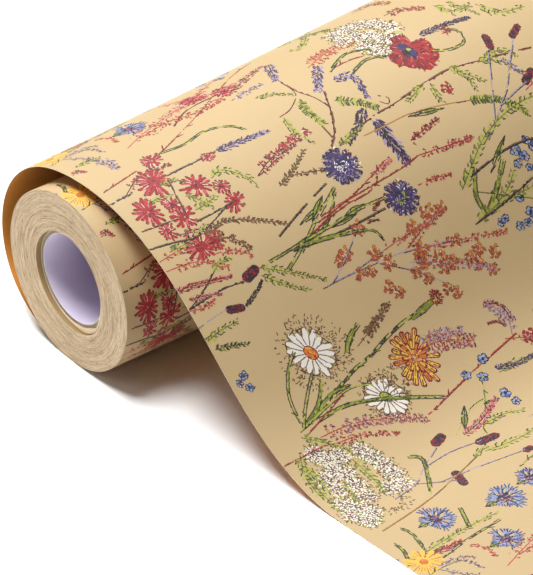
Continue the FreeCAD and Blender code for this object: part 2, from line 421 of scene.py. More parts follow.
def daisy(c, r, centre):
    n = 16
    tilt, squash = RND.uniform(0.9, 1.2), 0.80

    def at(a, k):
        x, y = k * math.cos(a), k * math.sin(a) * squash
        return c[0] + x * math.cos(tilt) - y * math.sin(tilt), c[1] + x * math.sin(tilt) + y * math.cos(tilt)

    def petal(a, k0, k1, w0, w1, ink, a1=None):
        cap(*at(a, k0), *at(a if a1 is None else a1, k1), w0, w1, ink)
    long = [r * RND.uniform(0.82, 1.08) for _ in range(n)]
    for i in range(n):
        a = 2 * math.pi * i / n
        petal(a, r * 0.55, long[i] * 0.92, r * 0.14, r * 0.115, "stip")
    for i in range(n):
        a = 2 * math.pi * i / n + RND.uniform(-0.05, 0.05)
        petal(a, r * 0.22, long[i] * 0.62, r * 0.09, r * 0.145, "white")
        petal(a, long[i] * 0.55, long[i] * 0.93, r * 0.145, r * 0.075, "white")
    for i in range(n):
        a = 2 * math.pi * (i + 0.5) / n + RND.uniform(-0.04, 0.04)
        petal(a, r * 0.34, r * RND.uniform(0.70, 0.86), 0.08, 0.10, "stip")
        if RND.random() < 0.7:
            b = a + math.pi / n + RND.uniform(-0.06, 0.06)
            petal(b, r * 0.40, r * RND.uniform(0.55, 0.75), 0.06, 0.06, "cream")
        if RND.random() < 0.6:
            petal(a - 0.12, r * 0.97, r * 1.02, 0.09, 0.09, "dark", a + 0.16)
    main, second = ("orange", "yellow") if centre == "orange" else ("lime", "green")
    petal(0, r * 0.12, -r * 0.12, r * 0.20, r * 0.20, "maroon" if centre == "orange" else "dkgreen")
    petal(0, r * 0.12, -r * 0.12, r * 0.165, r * 0.165, main)
    for _ in range(24):
        dot(*at(RND.uniform(0, 6.28), r * 0.27 * math.sqrt(RND.random())), r * 0.03 + 0.05,
            second if RND.random() < 0.40 else ("red" if centre == "orange" else "dkgreen"))
    for i in range(9):
        a = i * 0.698 + RND.uniform(-0.1, 0.1)
        petal(a, r * 0.28, r * 0.28, 0.12, 0.10, "red" if centre == "orange" else "dkgreen", a + 0.45)


def stipple(c, r, n):
    for _ in range(int(n * 2.6)):
        a = RND.uniform(0, 6.28)
        q = r * (0.52 + 0.50 * RND.random() ** 1.5)
        p = polar(c, a, q)
        pick = RND.random()
        cap(*p, *polar(p, a + RND.uniform(-0.9, 0.9), RND.uniform(0.20, 0.70)), RND.uniform(0.09, 0.13), 0.08,
            "stip" if pick < 0.45 else "brown" if pick < 0.75 else "olive" if pick < 0.87 else "dark")


def ragred(c, r):
    n = RND.choice((7, 8, 9))
    start = RND.uniform(0, 6.28)
    squash = RND.uniform(0.76, 0.96)
    turn = RND.uniform(0, 3.14)

    def at(a, k):
        x, y = k * math.cos(a), k * math.sin(a) * squash
        return c[0] + x * math.cos(turn) - y * math.sin(turn), c[1] + x * math.sin(turn) + y * math.cos(turn)
    dot(*c, r * 0.42, "burn")
    tips = []
    for i in range(n):
        a = start + 2 * math.pi * i / n + RND.uniform(-0.14, 0.14)
        k = r * RND.uniform(0.80, 1.12)
        for q in (-0.24, 0.16):
            tips.append((a, a + q + RND.uniform(-0.06, 0.06), k * RND.uniform(0.82, 1.06)))
    for a, b, k in tips:
        cap(*at(a, k * 0.40), *at(b + 0.05, k * 1.02), r * 0.05 + 0.16, r * 0.05 + 0.20, "maroon" if RND.random() < 0.75 else "navy")
    for i, (a, b, k) in enumerate(tips):
        cap(*at(a, r * 0.10), *at((a + b) / 2, k * 0.60), r * 0.06 + 0.06, r * 0.07 + 0.09, "red" if i % 4 else "rose")
        cap(*at((a + b) / 2, k * 0.55), *at(b, k * 0.96), r * 0.085 + 0.09, r * 0.05 + 0.13, "red" if i % 3 else "rose")
        if RND.random() < 0.6:
            cap(*at(b - 0.06, k * 0.45), *at(b - 0.06, k * 0.82), 0.12, 0.09, "pink" if RND.random() < 0.7 else "cream")
        if RND.random() < 0.5:
            cap(*at(b + 0.1, k * 0.3), *at(b + 0.12, k * 0.7), 0.12, 0.09, "maroon")
    for _ in range(8):
        p = polar(c, RND.uniform(0, 6.28), r * 0.32 * RND.random())
        cap(*p, *polar(p, RND.uniform(0, 6.28), 0.3), 0.17, 0.12, "navy" if RND.random() < 0.7 else "pink")


def scab(c, r, centre):
    n = 17
    lobes = [r * RND.uniform(0.86, 1.05) for _ in range(n)]
    for i in range(n):
        a = 2 * math.pi * i / n + RND.uniform(-0.07, 0.07)
        ray(c, a, r * 0.35, lobes[i] * 0.89, r * 0.10, r * 0.125, "navy" if i % 3 else "dblue")
    dot(*c, r * 0.68, "violet")
    for i in range(n):
        a = 2 * math.pi * i / n + RND.uniform(-0.1, 0.1)
        ray(c, a, r * 0.45, lobes[i] * 0.86, r * 0.05, r * 0.065, ("violet", "purple", "lavd")[i % 3])
    for i in range(135):
        q = r * (0.26 + 0.70 * math.sqrt((i + 0.5) / 135))
        a = i * 2.39996 + RND.uniform(-0.1, 0.1)
        p = polar(c, a, q)
        pick = RND.random()
        ink = ("lav" if pick < 0.34 else "purple" if pick < 0.46 else "violet" if pick < 0.56 else "navy" if pick < 0.82
               else "mauve" if pick < 0.89 else "white" if pick < 0.96 else "burn")
        cap(*p, *polar(p, a + RND.uniform(-1.2, 1.2), RND.uniform(0.20, 0.65)), RND.uniform(0.12, 0.17), 0.10, ink)
    for i in range(44):
        p = polar(c, i * 2.4, r * 0.38 * math.sqrt((i + 0.5) / 44))
        pick = RND.random()
        cap(*p, *polar(p, RND.uniform(0, 6.28), 0.3), 0.15, 0.11,
            "navy" if pick < 0.34 else ("lav" if pick < 0.50 else ("lime" if centre == "green" else "white")))


def corn(c, r, way=1):
    n = 13
    dot(*c, r * 0.34, "dblue")
    for i in range(n):
        a = 2 * math.pi * i / n + RND.uniform(-0.14, 0.14)
        long = 1.0 if math.cos(a) > -0.2 else 0.74
        k = r * long * RND.uniform(0.8, 1.08)
        ray(c, a, r * 0.15, k * 0.66, 0.20, r * 0.075 + 0.08, "dblue" if i % 2 else "navy")
        base = polar(c, a, k * 0.50)
        for q in (-0.62, -0.2, 0.25, 0.62):
            tip = polar(base, a + q, k * RND.uniform(0.34, 0.52))
            cap(*base, *tip, r * 0.070 + 0.07, 0.17, ("blue", "lblue", "lblue", "lav")[int(RND.random() * 4)])
            cap(*polar(base, a + q + 0.5, 0.26), *polar(tip, a + q + 1.57, 0.16), 0.12, 0.10, "navy" if RND.random() < 0.6 else "dblue")
        ray(c, a + 0.12, r * 0.2, k * 0.70, 0.10, 0.09, "navy")
    for _ in range(26):
        p = polar(c, RND.uniform(0, 6.28), r * 0.34 * math.sqrt(RND.random()))
        cap(*p, *polar(p, RND.uniform(-0.6, 0.6), 0.6), 0.16, 0.10, ("purple", "navy", "mauve", "pink", "lav")[int(RND.random() * 5)])
    leaf(polar(c, math.pi, r * 0.95), polar(c, math.pi, r * 0.35), r * 0.26, "green")


def umbel(centres, r):
    for c in centres:
        for _ in range(24):
            a = RND.uniform(0, 6.28)
            ray(c, a, r * RND.uniform(0.5, 0.9), r * RND.uniform(1.0, 1.35), 0.22, 0.10, RND.choice(("green", "lime", "dkgreen", "olive")))
        for _ in range(16):
            p = polar(c, RND.uniform(0, 6.28), r * RND.uniform(0.9, 1.4))
            cap(*p, *polar(p, RND.uniform(0, 6.28), 0.3), 0.11, 0.08, RND.choice(("stip", "brown", "maroon")))
        dot(*c, r * 0.6, "stip")
    for c in centres:
        for i in range(52):
            p = polar(c, i * 2.4 + RND.uniform(-0.2, 0.2), r * 1.02 * math.sqrt((i + 0.5) / 52))
            cap(*p, *polar(p, RND.uniform(0, 6.28), 0.22), r * 0.085, r * 0.07, "white")
        for _ in range(22):
            p = polar(c, RND.uniform(0, 6.28), r * math.sqrt(RND.random()))
            dot(*p, RND.uniform(0.11, 0.17), "red" if RND.random() < 0.6 else "maroon")
        for _ in range(26):
            p = polar(c, RND.uniform(0, 6.28), r * 1.1 * math.sqrt(RND.random()))
            cap(*p, *polar(p, RND.uniform(0, 6.28), 0.3), 0.09, 0.07, RND.choice(("stip", "olive", "dark", "green")))


def poppy(c, r):
    lobes = ((1.50, 1.10, 0.34), (0.80, 1.02, 0.38), (0.10, 0.90, 0.34), (2.95, 0.98, 0.34), (2.25, 0.86, 0.36), (-1.35, 0.80, 0.34), (-2.4, 0.55, 0.32))
    for a, k, w in lobes:
        cap(*polar(c, a, r * 0.2), *polar(c, a, r * k * 0.72), r * w * 0.8 + 0.10, r * w + 0.10, "burn")
    for i, (a, k, w) in enumerate(lobes):
        for q in (-0.75, -0.25, 0.25, 0.75):
            root = polar(polar(c, a, r * 0.15), a + 1.57, r * w * q * 0.5)
            tip = polar(polar(c, a, r * k * RND.uniform(0.80, 1.02)), a + 1.57, r * w * q)
            cap(*root, *tip, r * w * 0.34, r * w * RND.uniform(0.22, 0.34), "red" if RND.random() < 0.75 else "burn")
        for _ in range(20):
            p = polar(polar(c, a, r * k * RND.uniform(0.30, 0.98)), a + 1.57, r * w * RND.uniform(-0.95, 0.95))
            cap(*p, *polar(p, a + RND.uniform(-0.4, 0.4), RND.uniform(0.5, 1.2)), 0.15, 0.10,
                ("maroon", "burn", "maroon", "pink", "coral")[int(RND.random() * 5)])
    cap(*polar(c, 1.6, r * 0.20), *polar(c, -1.9, r * 0.26), r * 0.20, r * 0.22, "violet")
    cap(*polar(c, 2.6, r * 0.30), *polar(c, 2.9, r * 0.10), r * 0.13, r * 0.15, "navy")
    for i in range(44):
        a = RND.uniform(0, 6.28)
        p = (c[0] - r * 0.10 + r * 0.30 * math.cos(a) * RND.random(), c[1] + r * 0.52 * math.sin(a) * RND.random())
        cap(*p, *polar(p, RND.uniform(0, 6.28), 0.6), 0.24, 0.14, ("navy", "purple", "violet", "navy")[i % 4])
    dot(*c, r * 0.11, "lime")
    dot(*polar(c, 2.0, r * 0.08), 0.18, "white")


def mari(c, r):
    def at(a, k):
        return c[0] + k * math.cos(a) * 0.76, c[1] + k * math.sin(a)
    n = 20
    long = [r * RND.uniform(0.76, 1.08) for _ in range(n)]
    for i in range(n):
        a = 2 * math.pi * i / n + RND.uniform(-0.05, 0.05)
        b = a + RND.uniform(-0.08, 0.08)
        cap(*at(a, r * 0.3), *at(b, long[i] * 0.90), r * 0.06, r * 0.080 + 0.10, "burn" if i % 3 else "maroon")
        cap(*at(a, r * 0.2), *at(b, long[i] * 0.88), r * 0.028, r * 0.058, "yellow" if i % 5 else "orange")
        cap(*at(b, long[i] * 0.74), *at(b + 0.03, long[i] * 0.98), 0.16, 0.12, "burn")
        if RND.random() < 0.8:
            cap(*at(a, long[i] * 0.30), *at(b, long[i] * 0.62), 0.13, 0.10, "red" if i % 2 else "burn")
    for i in range(14):
        a = i * 0.449 + 0.2
        k = r * RND.uniform(0.40, 0.56)
        cap(*at(a, r * 0.10), *at(a, k), r * 0.03, r * 0.06, "burn")
        cap(*at(a, r * 0.10), *at(a, k * 0.9), r * 0.02, r * 0.032, "orange" if i % 3 == 0 else "yellow")
    for _ in range(34):
        p = at(RND.uniform(0, 6.28), r * 0.32 * math.sqrt(RND.random()))
        cap(*p, *polar(p, RND.uniform(0, 6.28), 0.5), 0.16, 0.11, ("red", "maroon", "pink", "rose", "burn")[int(RND.random() * 5)])


def yell(c, r):
    for i in range(14):
        a = i * 0.4488 + RND.uniform(-0.08, 0.08)
        k = r * RND.uniform(0.85, 1.05)
        ray(c, a, r * 0.2, k * 0.88, r * 0.07, r * 0.125, "yellow")
        ray(c, a + 0.2, r * 0.35, k * 0.9, 0.09, 0.10, "coral" if i % 2 else "red")
        if RND.random() < 0.6:
            ray(c, a, k * 0.5, k * 0.8, 0.07, 0.07, "red")
    dot(*c, r * 0.22, "orange")
    for i in range(14):
        dot(*polar(c, i * 2.4, r * 0.2 * math.sqrt((i + 0.5) / 14)), 0.15, "maroon" if i % 2 else "red")


DRAW = {"stem": stem, "tendril": tendril, "vein": vein, "blade": blade, "leaf": leaf, "sprig": sprig, "pinn": pinn, "spike": spike,
        "spray": spray, "dots": dots, "fmn": fmn, "oval": oval, "bud": bud, "daisy": daisy, "stipple": stipple,
        "ragred": ragred, "scab": scab, "corn": corn, "umbel": umbel, "poppy": poppy, "mari": mari, "yell": yell}
# What is drawn where in one repeat: (motif, places in mm, sizes and inks).
LAYOUT = [
    ('spray', [(19.0, 83.6), (29.4, 79.9), (43.8, 77.1), (58.6, 79.5)], 'pink', 'rose', 4.5, 60),
    ('spray', [(24.3, 82.0), (34.3, 81.2), (42.2, 82.9), (51.2, 82.5)], 'rose', 'red', 4.0, 44),
    ('spray', [(5.7, 99.0), (13.4, 95.1), (22.4, 95.9)], 'rose', 'maroon', 2.4, 22),
    ('spray', [(8.7, 115.6), (14.1, 116.8), (20.2, 119.6)], 'rose', 'maroon', 2.4, 24),
    ('spray', [(0.4, 120.3), (9.0, 119.6), (17.5, 122.8)], 'coral', 'rose', 3.0, 30),
    ('sprig', [(4.5, 118.9), (11.7, 118.4), (17.8, 116.0)], 1.7, 'green'),
    ('sprig', [(7.3, 104.2), (12.5, 104.0), (15.5, 105.0)], 1.4, 'green'),
    ('ragred', (13.6, 107.4), 2.6),
    ('ragred', (28.6, 108.4), 2.4),
    ('ragred', (7.5, 113.7), 2.6),
    ('ragred', (17.5, 120.9), 3.0),
    ('spray', [(38.8, 68.1), (47.1, 74.9), (59.1, 70.0)], 'pink', 'rose', 3.5, 26),
    ('stem', [(21.4, 91.6), (40.8, 84.4), (63.2, 73.4), (70.9, 70.8)], 0.28, 'red'),
    ('blade', [(23.5, 91.1), (30.5, 92.0), (37.7, 90.9), (44.1, 93.3), (46.3, 96.7)], 0.55),
    ('stem', [(18.9, 98.9), (26.7, 98.8), (34.5, 98.7), (36.7, 98.8)], 0.3, 'navy'),
    ('spike', [(35.4, 98.4), (41.0, 99.0), (50.6, 99.9)], 2.6, 'purple', 'lav'),
    ('spray', [(52.2, 85.1), (57.2, 84.8), (62.6, 84.8)], 'lav', 'lavd', 2.4, 14),
    ('ragred', (19.4, 92.1), 3.0),
    ('ragred', (14.8, 98.8), 5.2),
    ('ragred', (23.3, 105.2), 4.2),
    ('ragred', (6.9, 106.3), 4.6),
    ('ragred', (13.8, 111.7), 4.0),
    ('ragred', (28.8, 113.6), 3.3),
    ('ragred', (12.9, 121.1), 4.4),
    ('ragred', (31.9, 99.1), 1.8),
    ('stem', [(0.2, 116.2), (7.2, 117.2), (13.4, 118.2), (20.2, 116.1), (26.4, 113.8)], 0.3, 'navy'),
    ('stem', [(16.1, 114.5), (22.3, 114.2), (29.2, 113.5)], 0.26, 'navy'),
    ('stem', [(1.6, 110.8), (6.8, 111.3), (12.3, 111.6)], 0.24, 'maroon'),
    ('sprig', [(28.0, 105.2), (31.9, 104.4), (35.8, 108.6), (36.9, 112.1)], 1.9, 'green'),
    ('sprig', [(18.1, 111.4), (21.1, 111.2), (25.3, 110.2)], 1.7, 'green'),
    ('spray', [(39.1, 110.2), (43.5, 109.0), (49.1, 107.3), (55.9, 105.8)], 'pink', 'maroon', 2.2, 22),
    ('sprig', [(15.9, 118.6), (22.0, 117.2), (29.0, 119.7), (37.9, 124.7)], 1.6, 'brown'),
    ('spray', [(0.5, 123.4), (9.1, 124.1), (16.5, 129.0)], 'coral', 'rose', 3.2, 26),
    ('spray', [(14.3, 124.2), (19.7, 124.9), (23.9, 128.2)], 'coral', 'rose', 2.4, 16),
    ('spike', [(-0.5, 129.1), (6.6, 129.7), (15.8, 131.1)], 2.0, 'red', 'pink'),
    ('spray', [(54.6, 81.7), (62.4, 79.1), (69.6, 77.1)], 'pink', 'maroon', 3.0, 26),
    ('spray', [(46.3, 113.6), (51.8, 114.7), (57.0, 116.4)], 'brown', 'stip', 1.6, 12),
    ('spray', [(38.8, 110.1), (45.6, 107.2), (56.5, 105.1)], 'rose', 'maroon', 3.6, 40),
    ('sprig', [(15.1, 100.8), (19.0, 100.7), (21.1, 102.8)], 1.3, 'green'),
    ('sprig', [(18.6, 106.7), (20.9, 109.4), (22.6, 113.0)], 1.4, 'green'),
    ('stem', [(18.1, 100.2), (16.4, 105.5), (15.0, 111.3)], 0.22, 'navy'),
    ('spray', [(17.3, 120.2), (21.7, 122.1), (24.7, 127.0)], 'brown', 'stip', 2.6, 26),
    ('stem', [(1.8, 94.7), (7.3, 93.9), (13.9, 92.9)], 0.3, 'red'),
    ('stem', [(0.1, 99.6), (3.6, 99.3), (7.4, 99.2)], 0.34, 'navy'),
    ('spike', [(70.8, 78.1), (66.0, 86.2)], 3.2, 'purple', 'lav'),
    ('spike', [(78.2, 88.2), (70.8, 95.9)], 3.6, 'purple', 'lav'),
    ('spike', [(77.1, 95.2), (81.9, 96.1), (80.1, 103.6)], 3.0, 'purple', 'lav'),
    ('spike', [(76.6, 105.7), (71.9, 109.1), (66.0, 112.2)], 3.0, 'navy', 'purple'),
    ('stem', [(66.3, 86.6), (66.6, 92.6), (68.6, 97.2), (69.4, 101.6)], 0.26, 'maroon'),
    ('stem', [(72.0, 96.7), (68.7, 102.7), (64.9, 108.2), (61.6, 110.9)], 0.3, 'maroon'),
    ('stem', [(65.0, 95.7), (63.6, 102.2), (63.4, 109.1)], 0.24, 'maroon'),
    ('sprig', [(57.0, 88.6), (61.6, 90.2), (64.9, 93.3)], 1.2, 'green'),
    ('pinn', [(64.3, 96.1), (63.6, 100.7), (64.5, 104.9)], 1.3),
    ('pinn', [(72.1, 100.5), (76.5, 103.2), (80.2, 107.1)], 1.5),
    ('sprig', [(57.1, 98.5), (56.1, 103.4), (58.1, 108.6)], 1.5, 'green'),
    ('dots', (58.7, 104.8), 1.3, 'red'),
    ('tendril', [(82.8, 104.3), (84.6, 105.9), (83.4, 107.3), (81.9, 105.9)]),
    ('tendril', [(56.6, 97.7), (60.4, 97.1), (65.3, 94.0), (66.3, 90.8)]),
    ('scab', (60.4, 116.6), 5.3, 'lav'),
    ('scab', (70.5, 129.9), 5.0, 'green'),
    ('spike', [(76.9, 109.5), (77.0, 115.7), (77.2, 122.2)], 5.0, 'purple', 'lav'),
    ('spike', [(76.9, 110.1), (76.8, 116.2), (77.8, 121.9)], 3.2, 'navy', 'purple'),
    ('blade', [(27.4, 131.6), (31.9, 131.1), (36.4, 130.5), (40.4, 129.8)], 0.6),
    ('blade', [(35.8, 131.5), (43.5, 130.4), (49.8, 126.5), (54.3, 121.8)], 0.7),
    ('stem', [(40.4, 129.8), (51.4, 126.5), (63.7, 125.0), (67.4, 122.4)], 0.34, 'red'),
    ('stem', [(45.5, 127.1), (56.0, 124.9), (65.7, 122.0), (72.0, 119.6)], 0.28, 'red'),
    ('stem', [(47.0, 126.0), (56.0, 124.9), (74.8, 123.0), (80.8, 121.9)], 0.28, 'red'),
    ('stem', [(35.1, 131.5), (48.0, 131.9), (64.7, 130.8)], 0.36, 'navy'),
    ('stem', [(31.7, 127.5), (42.6, 123.0), (53.6, 119.2)], 0.3, 'navy'),
    ('leaf', (40.5, 126.0), (49.2, 123.6), 1.4),
    ('leaf', (47.7, 129.7), (56.5, 129.1), 1.3),
    ('stem', [(37.0, 132.5), (44.2, 127.2), (54.9, 120.9)], 0.42, 'green'),
    ('stem', [(39.8, 130.1), (48.0, 129.3), (57.0, 128.2), (66.1, 128.2)], 0.42, 'green'),
    ('stem', [(30.9, 135.3), (35.7, 132.6), (39.3, 129.9)], 0.5, 'green'),
    ('blade', [(37.4, 130.9), (45.2, 131.7), (52.3, 132.7)], 1.0),
    ('leaf', (44.0, 126.5), (50.6, 121.5), 1.7),
    ('leaf', (53.1, 128.4), (60.0, 127.6), 1.6),
    ('sprig', [(42.1, 114.9), (47.5, 112.8), (54.6, 108.9)], 1.4, 'brown'),
    ('dots', (54.1, 104.9), 1.6, 'rose'),
    ('dots', (50.6, 105.9), 1.5, 'rose'),
    ('stem', [(63.8, 111.9), (73.5, 109.2), (84.8, 107.9), (95.5, 106.6), (104.5, 105.9), (114.4, 107.1), (129.0, 109.5)], 0.26, 'maroon'),
    ('sprig', [(95.5, 106.6), (92.4, 107.5), (88.5, 108.9)], 1.8, 'green'),
    ('sprig', [(97.4, 107.1), (96.8, 110.0), (96.7, 112.4)], 1.6, 'lime'),
    ('sprig', [(104.5, 105.9), (108.0, 108.7), (111.0, 112.3)], 1.7, 'green'),
    ('sprig', [(106.3, 105.4), (107.7, 110.4), (107.3, 113.2)], 1.3, 'lime'),
    ('sprig', [(113.3, 107.2), (118.0, 108.6), (120.7, 111.5)], 1.9, 'green'),
    ('sprig', [(115.6, 107.0), (121.1, 106.8), (124.2, 110.0)], 1.6, 'lime'),
    ('spray', [(119.4, 108.6), (120.7, 111.5), (122.1, 113.8)], 'lavd', 'lav', 2.0, 16),
    ('sprig', [(63.8, 111.9), (68.9, 110.3), (72.8, 109.6)], 1.7, 'green'),
    ('dots', (100.4, 110.0), 1.9, 'red'),
    ('vein', [(71.4, 112.1), (79.7, 111.9), (86.6, 111.8), (95.2, 113.0), (104.9, 115.2), (112.2, 118.5), (117.0, 124.2)]),
    ('pinn', [(103.9, 114.8), (109.2, 116.5), (113.2, 118.9), (116.7, 123.2)], 1.1),
    ('leaf', (85.6, 112.3), (96.0, 114.0), 1.3),
    ('spray', [(80.9, 118.1), (87.1, 116.8), (93.0, 115.7)], 'rose', 'maroon', 2.2, 22),
    ('spray', [(80.8, 121.9), (90.1, 122.6), (98.8, 123.3)], 'rose', 'red', 2.4, 30),
    ('spray', [(66.2, 121.3), (69.7, 121.0), (73.3, 120.1)], 'pink', 'rose', 2.0, 16),
    ('spray', [(76.8, 128.6), (82.3, 128.7), (87.0, 129.6)], 'rose', 'red', 1.8, 14),
    ('spike', [(61.2, 129.8), (64.7, 128.3)], 1.2, 'red', 'maroon'),
    ('spike', [(57.9, 132.0), (61.5, 132.5)], 1.1, 'red', 'maroon'),
    ('spray', [(75.8, 87.2), (84.6, 85.2), (92.1, 85.9)], 'rose', 'coral', 5.0, 60),
    ('umbel', [(91.7, 80.0), (95.8, 80.0), (99.8, 80.9), (102.4, 83.5), (103.8, 87.2), (90.5, 84.1), (94.6, 84.8), (97.3, 86.9), (99.1, 89.8), (100.8, 92.1), (93.0, 89.8), (94.8, 92.7)], 2.5),
    ('spray', [(105.2, 72.2), (110.9, 72.1), (113.0, 78.1)], 'coral', 'stip', 4.0, 40),
    ('spray', [(106.9, 82.2), (112.0, 83.3), (116.3, 86.5)], 'rose', 'stip', 3.5, 30),
    ('sprig', [(118.7, 87.5), (120.1, 92.0), (126.0, 92.3)], 1.8, 'lime'),
    ('sprig', [(127.2, 93.1), (129.6, 97.9), (137.0, 99.3)], 1.8, 'green'),
    ('sprig', [(122.2, 88.2), (123.3, 92.3), (125.2, 96.2)], 1.4, 'green'),
    ('sprig', [(79.2, 77.1), (84.6, 76.5), (97.0, 64.0)], 1.7, 'lime'),
    ('stem', [(79.2, 91.3), (86.0, 91.3), (92.0, 92.7)], 0.22, 'red'),
    ('blade', [(78.6, 91.9), (87.1, 88.8), (93.2, 91.6)], 0.55),
    ('blade', [(82.5, 95.5), (89.1, 93.6), (94.3, 95.2)], 0.6),
    ('poppy', (100.6, 96.6), 6.4),
    ('spike', [(107.0, 94.0), (114.7, 94.5), (122.1, 95.6)], 2.2, 'purple', 'navy'),
    ('stem', [(105.3, 99.6), (109.1, 101.2), (112.5, 101.5), (115.0, 100.7), (115.8, 97.3), (113.5, 95.9)], 0.34, 'green'),
    ('dots', (113.5, 96.3), 1.6, 'red'),
    ('oval', (121.0, 101.5), (119.2, 106.0), 2.2, 'burn', 'navy'),
    ('oval', (126.3, 105.3), (131.3, 103.0), 1.9, 'burn', 'navy'),
    ('oval', (120.4, 116.6), (125.6, 114.0), 2.2, 'burn', 'navy'),
    ('stem', [(102.1, 125.1), (106.3, 122.5), (110.9, 118.9), (115.2, 116.0), (119.8, 111.5), (126.3, 106.0)], 0.28, 'lav'),
    ('stem', [(110.9, 118.9), (116.7, 117.4), (121.3, 116.3)], 0.26, 'lav'),
    ('stem', [(106.3, 122.5), (111.3, 114.8), (118.2, 105.6)], 0.26, 'lav'),
    ('blade', [(91.5, 142.4), (90.8, 137.0), (94.1, 130.3)], 1.1),
    ('blade', [(91.5, 142.4), (97.1, 137.6), (103.1, 131.3)], 1.2),
    ('sprig', [(87.9, 143.4), (95.8, 141.2), (107.9, 140.5)], 2.4, 'green'),
    ('sprig', [(93.4, 142.0), (100.7, 138.3), (106.6, 132.6)], 2.2, 'green'),
    ('stem', [(87.1, 143.7), (96.1, 141.9), (108.9, 138.5)], 0.34, 'navy'),
    ('fmn', (107.7, 130.2), 1.9),
    ('fmn', (109.4, 132.5), 1.9),
    ('fmn', (113.2, 131.1), 1.7),
    ('fmn', (102.7, 142.0), 1.6),
    ('fmn', (103.9, 146.6), 1.9),
    ('fmn', (99.0, 148.9), 1.6),
    ('fmn', (95.9, 145.3), 1.4),
    ('fmn', (112.1, 129.0), 1.5),
    ('fmn', (106.6, 133.7), 1.5),
    ('fmn', (109.5, 135.6), 1.4),
    ('fmn', (94.3, 145.9), 1.5),
    ('fmn', (101.8, 148.8), 1.5),
    ('stem', [(37.5, 143.2), (47.2, 142.6), (63.8, 142.9), (77.9, 144.9)], 0.3, 'lav'),
    ('stem', [(47.2, 142.6), (54.5, 141.1), (58.8, 140.4)], 0.24, 'lav'),
    ('stem', [(55.9, 143.1), (64.5, 148.8), (71.4, 155.5)], 0.24, 'lav'),
    ('stem', [(63.8, 142.9), (72.7, 138.8), (78.9, 137.1)], 0.24, 'lav'),
    ('dots', (47.9, 137.4), 2.4, 'coral'),
    ('dots', (45.6, 138.5), 1.9, 'coral'),
    ('dots', (54.6, 132.7), 2.3, 'coral'),
    ('dots', (55.8, 140.4), 2.4, 'coral'),
    ('dots', (58.3, 144.0), 2.4, 'coral'),
    ('dots', (49.1, 143.7), 2.0, 'coral'),
    ('dots', (52.3, 144.3), 1.9, 'coral'),
    ('dots', (67.6, 145.6), 2.2, 'coral'),
    ('dots', (72.9, 151.0), 2.4, 'coral'),
    ('dots', (81.0, 151.5), 2.2, 'coral'),
    ('dots', (82.9, 154.1), 1.9, 'coral'),
    ('dots', (85.8, 156.8), 2.0, 'coral'),
    ('dots', (64.2, 149.3), 1.9, 'coral'),
    ('dots', (66.7, 152.1), 1.9, 'coral'),
    ('dots', (55.1, 149.9), 2.1, 'coral'),
    ('dots', (57.2, 152.5), 1.9, 'coral'),
    ('dots', (70.7, 156.8), 1.9, 'coral'),
    ('dots', (72.6, 158.8), 1.9, 'coral'),
    ('spray', [(63.8, 142.9), (72.7, 138.8), (81.1, 136.2)], 'coral', 'rose', 3.0, 26),
    ('spray', [(58.8, 140.4), (68.2, 138.8), (76.0, 138.9)], 'coral', 'rose', 2.6, 26),
    ('spray', [(66.3, 143.3), (80.6, 145.9), (94.8, 148.8)], 'coral', 'rose', 3.0, 36),
    ('spray', [(62.5, 145.4), (72.2, 149.2), (86.2, 156.7)], 'coral', 'lav', 4.4, 60),
    ('dots', (68.7, 144.2), 2.6, 'coral'),
    ('dots', (67.9, 147.5), 2.4, 'coral'),
    ('dots', (73.0, 148.3), 2.4, 'coral'),
    ('dots', (75.5, 150.5), 2.3, 'coral'),
    ('dots', (84.2, 150.4), 2.4, 'coral'),
    ('dots', (88.4, 152.6), 2.2, 'coral'),
    ('dots', (69.2, 138.0), 2.2, 'coral'),
    ('dots', (75.2, 135.7), 2.4, 'coral'),
    ('dots', (79.5, 136.1), 2.0, 'coral'),
    ('dots', (79.5, 145.5), 2.0, 'coral'),
    ('stem', [(40.9, 142.8), (45.5, 139.9), (50.3, 136.0), (54.7, 132.5)], 0.22, 'lav'),
    ('blade', [(52.8, 132.9), (58.3, 134.4), (60.1, 138.0)], 0.5),
    ('stipple', (26.3, 157.6), 10.5, 150),
    ('stipple', (37.5, 176.1), 7.5, 90),
    ('daisy', (25.3, 157.5), 7.4, 'orange'),
    ('daisy', (37.6, 176.5), 6.4, 'green'),
    ('leaf', (36.5, 160.0), (40.7, 155.7), 0.9),
    ('spray', [(38.6, 160.9), (44.1, 158.3), (52.5, 153.9)], 'brown', 'stip', 4.0, 34),
    ('sprig', [(41.9, 158.6), (47.1, 156.5), (52.9, 153.8)], 1.3, 'brown'),
    ('blade', [(34.9, 161.2), (37.4, 158.0), (41.7, 155.6)], 1.1),
    ('stem', [(11.9, 174.6), (18.8, 172.7), (32.3, 166.8), (40.3, 164.7), (46.7, 162.2), (54.0, 160.0), (58.6, 159.4)], 0.5, 'dkgreen'),
    ('bud', (57.2, 160.1), (64.3, 158.1), 2.0, 'green'),
    ('stipple', (43.9, 173.2), 5.0, 30),
    ('mari', (51.5, 169.9), 9.2),
    ('mari', (66.4, 157.5), 2.6),
    ('dots', (66.5, 157.8), 1.2, 'yellow'),
    ('spray', [(53.7, 168.6), (62.0, 169.1), (69.6, 172.8)], 'mauve', 'red', 8.0, 80),
    ('spray', [(54.8, 167.8), (61.9, 167.1), (68.3, 168.7)], 'lav', 'mauve', 4.0, 30),
    ('blade', [(11.9, 174.6), (19.1, 170.9), (24.2, 165.2)], 0.9),
    ('blade', [(14.6, 174.6), (23.9, 169.6), (30.4, 169.7)], 0.9),
    ('blade', [(17.2, 174.5), (27.4, 174.1), (39.6, 177.8), (52.0, 183.5)], 0.9),
    ('stem', [(10.3, 175.1), (22.4, 171.8), (30.1, 170.2), (36.3, 171.7)], 0.34, 'lime'),
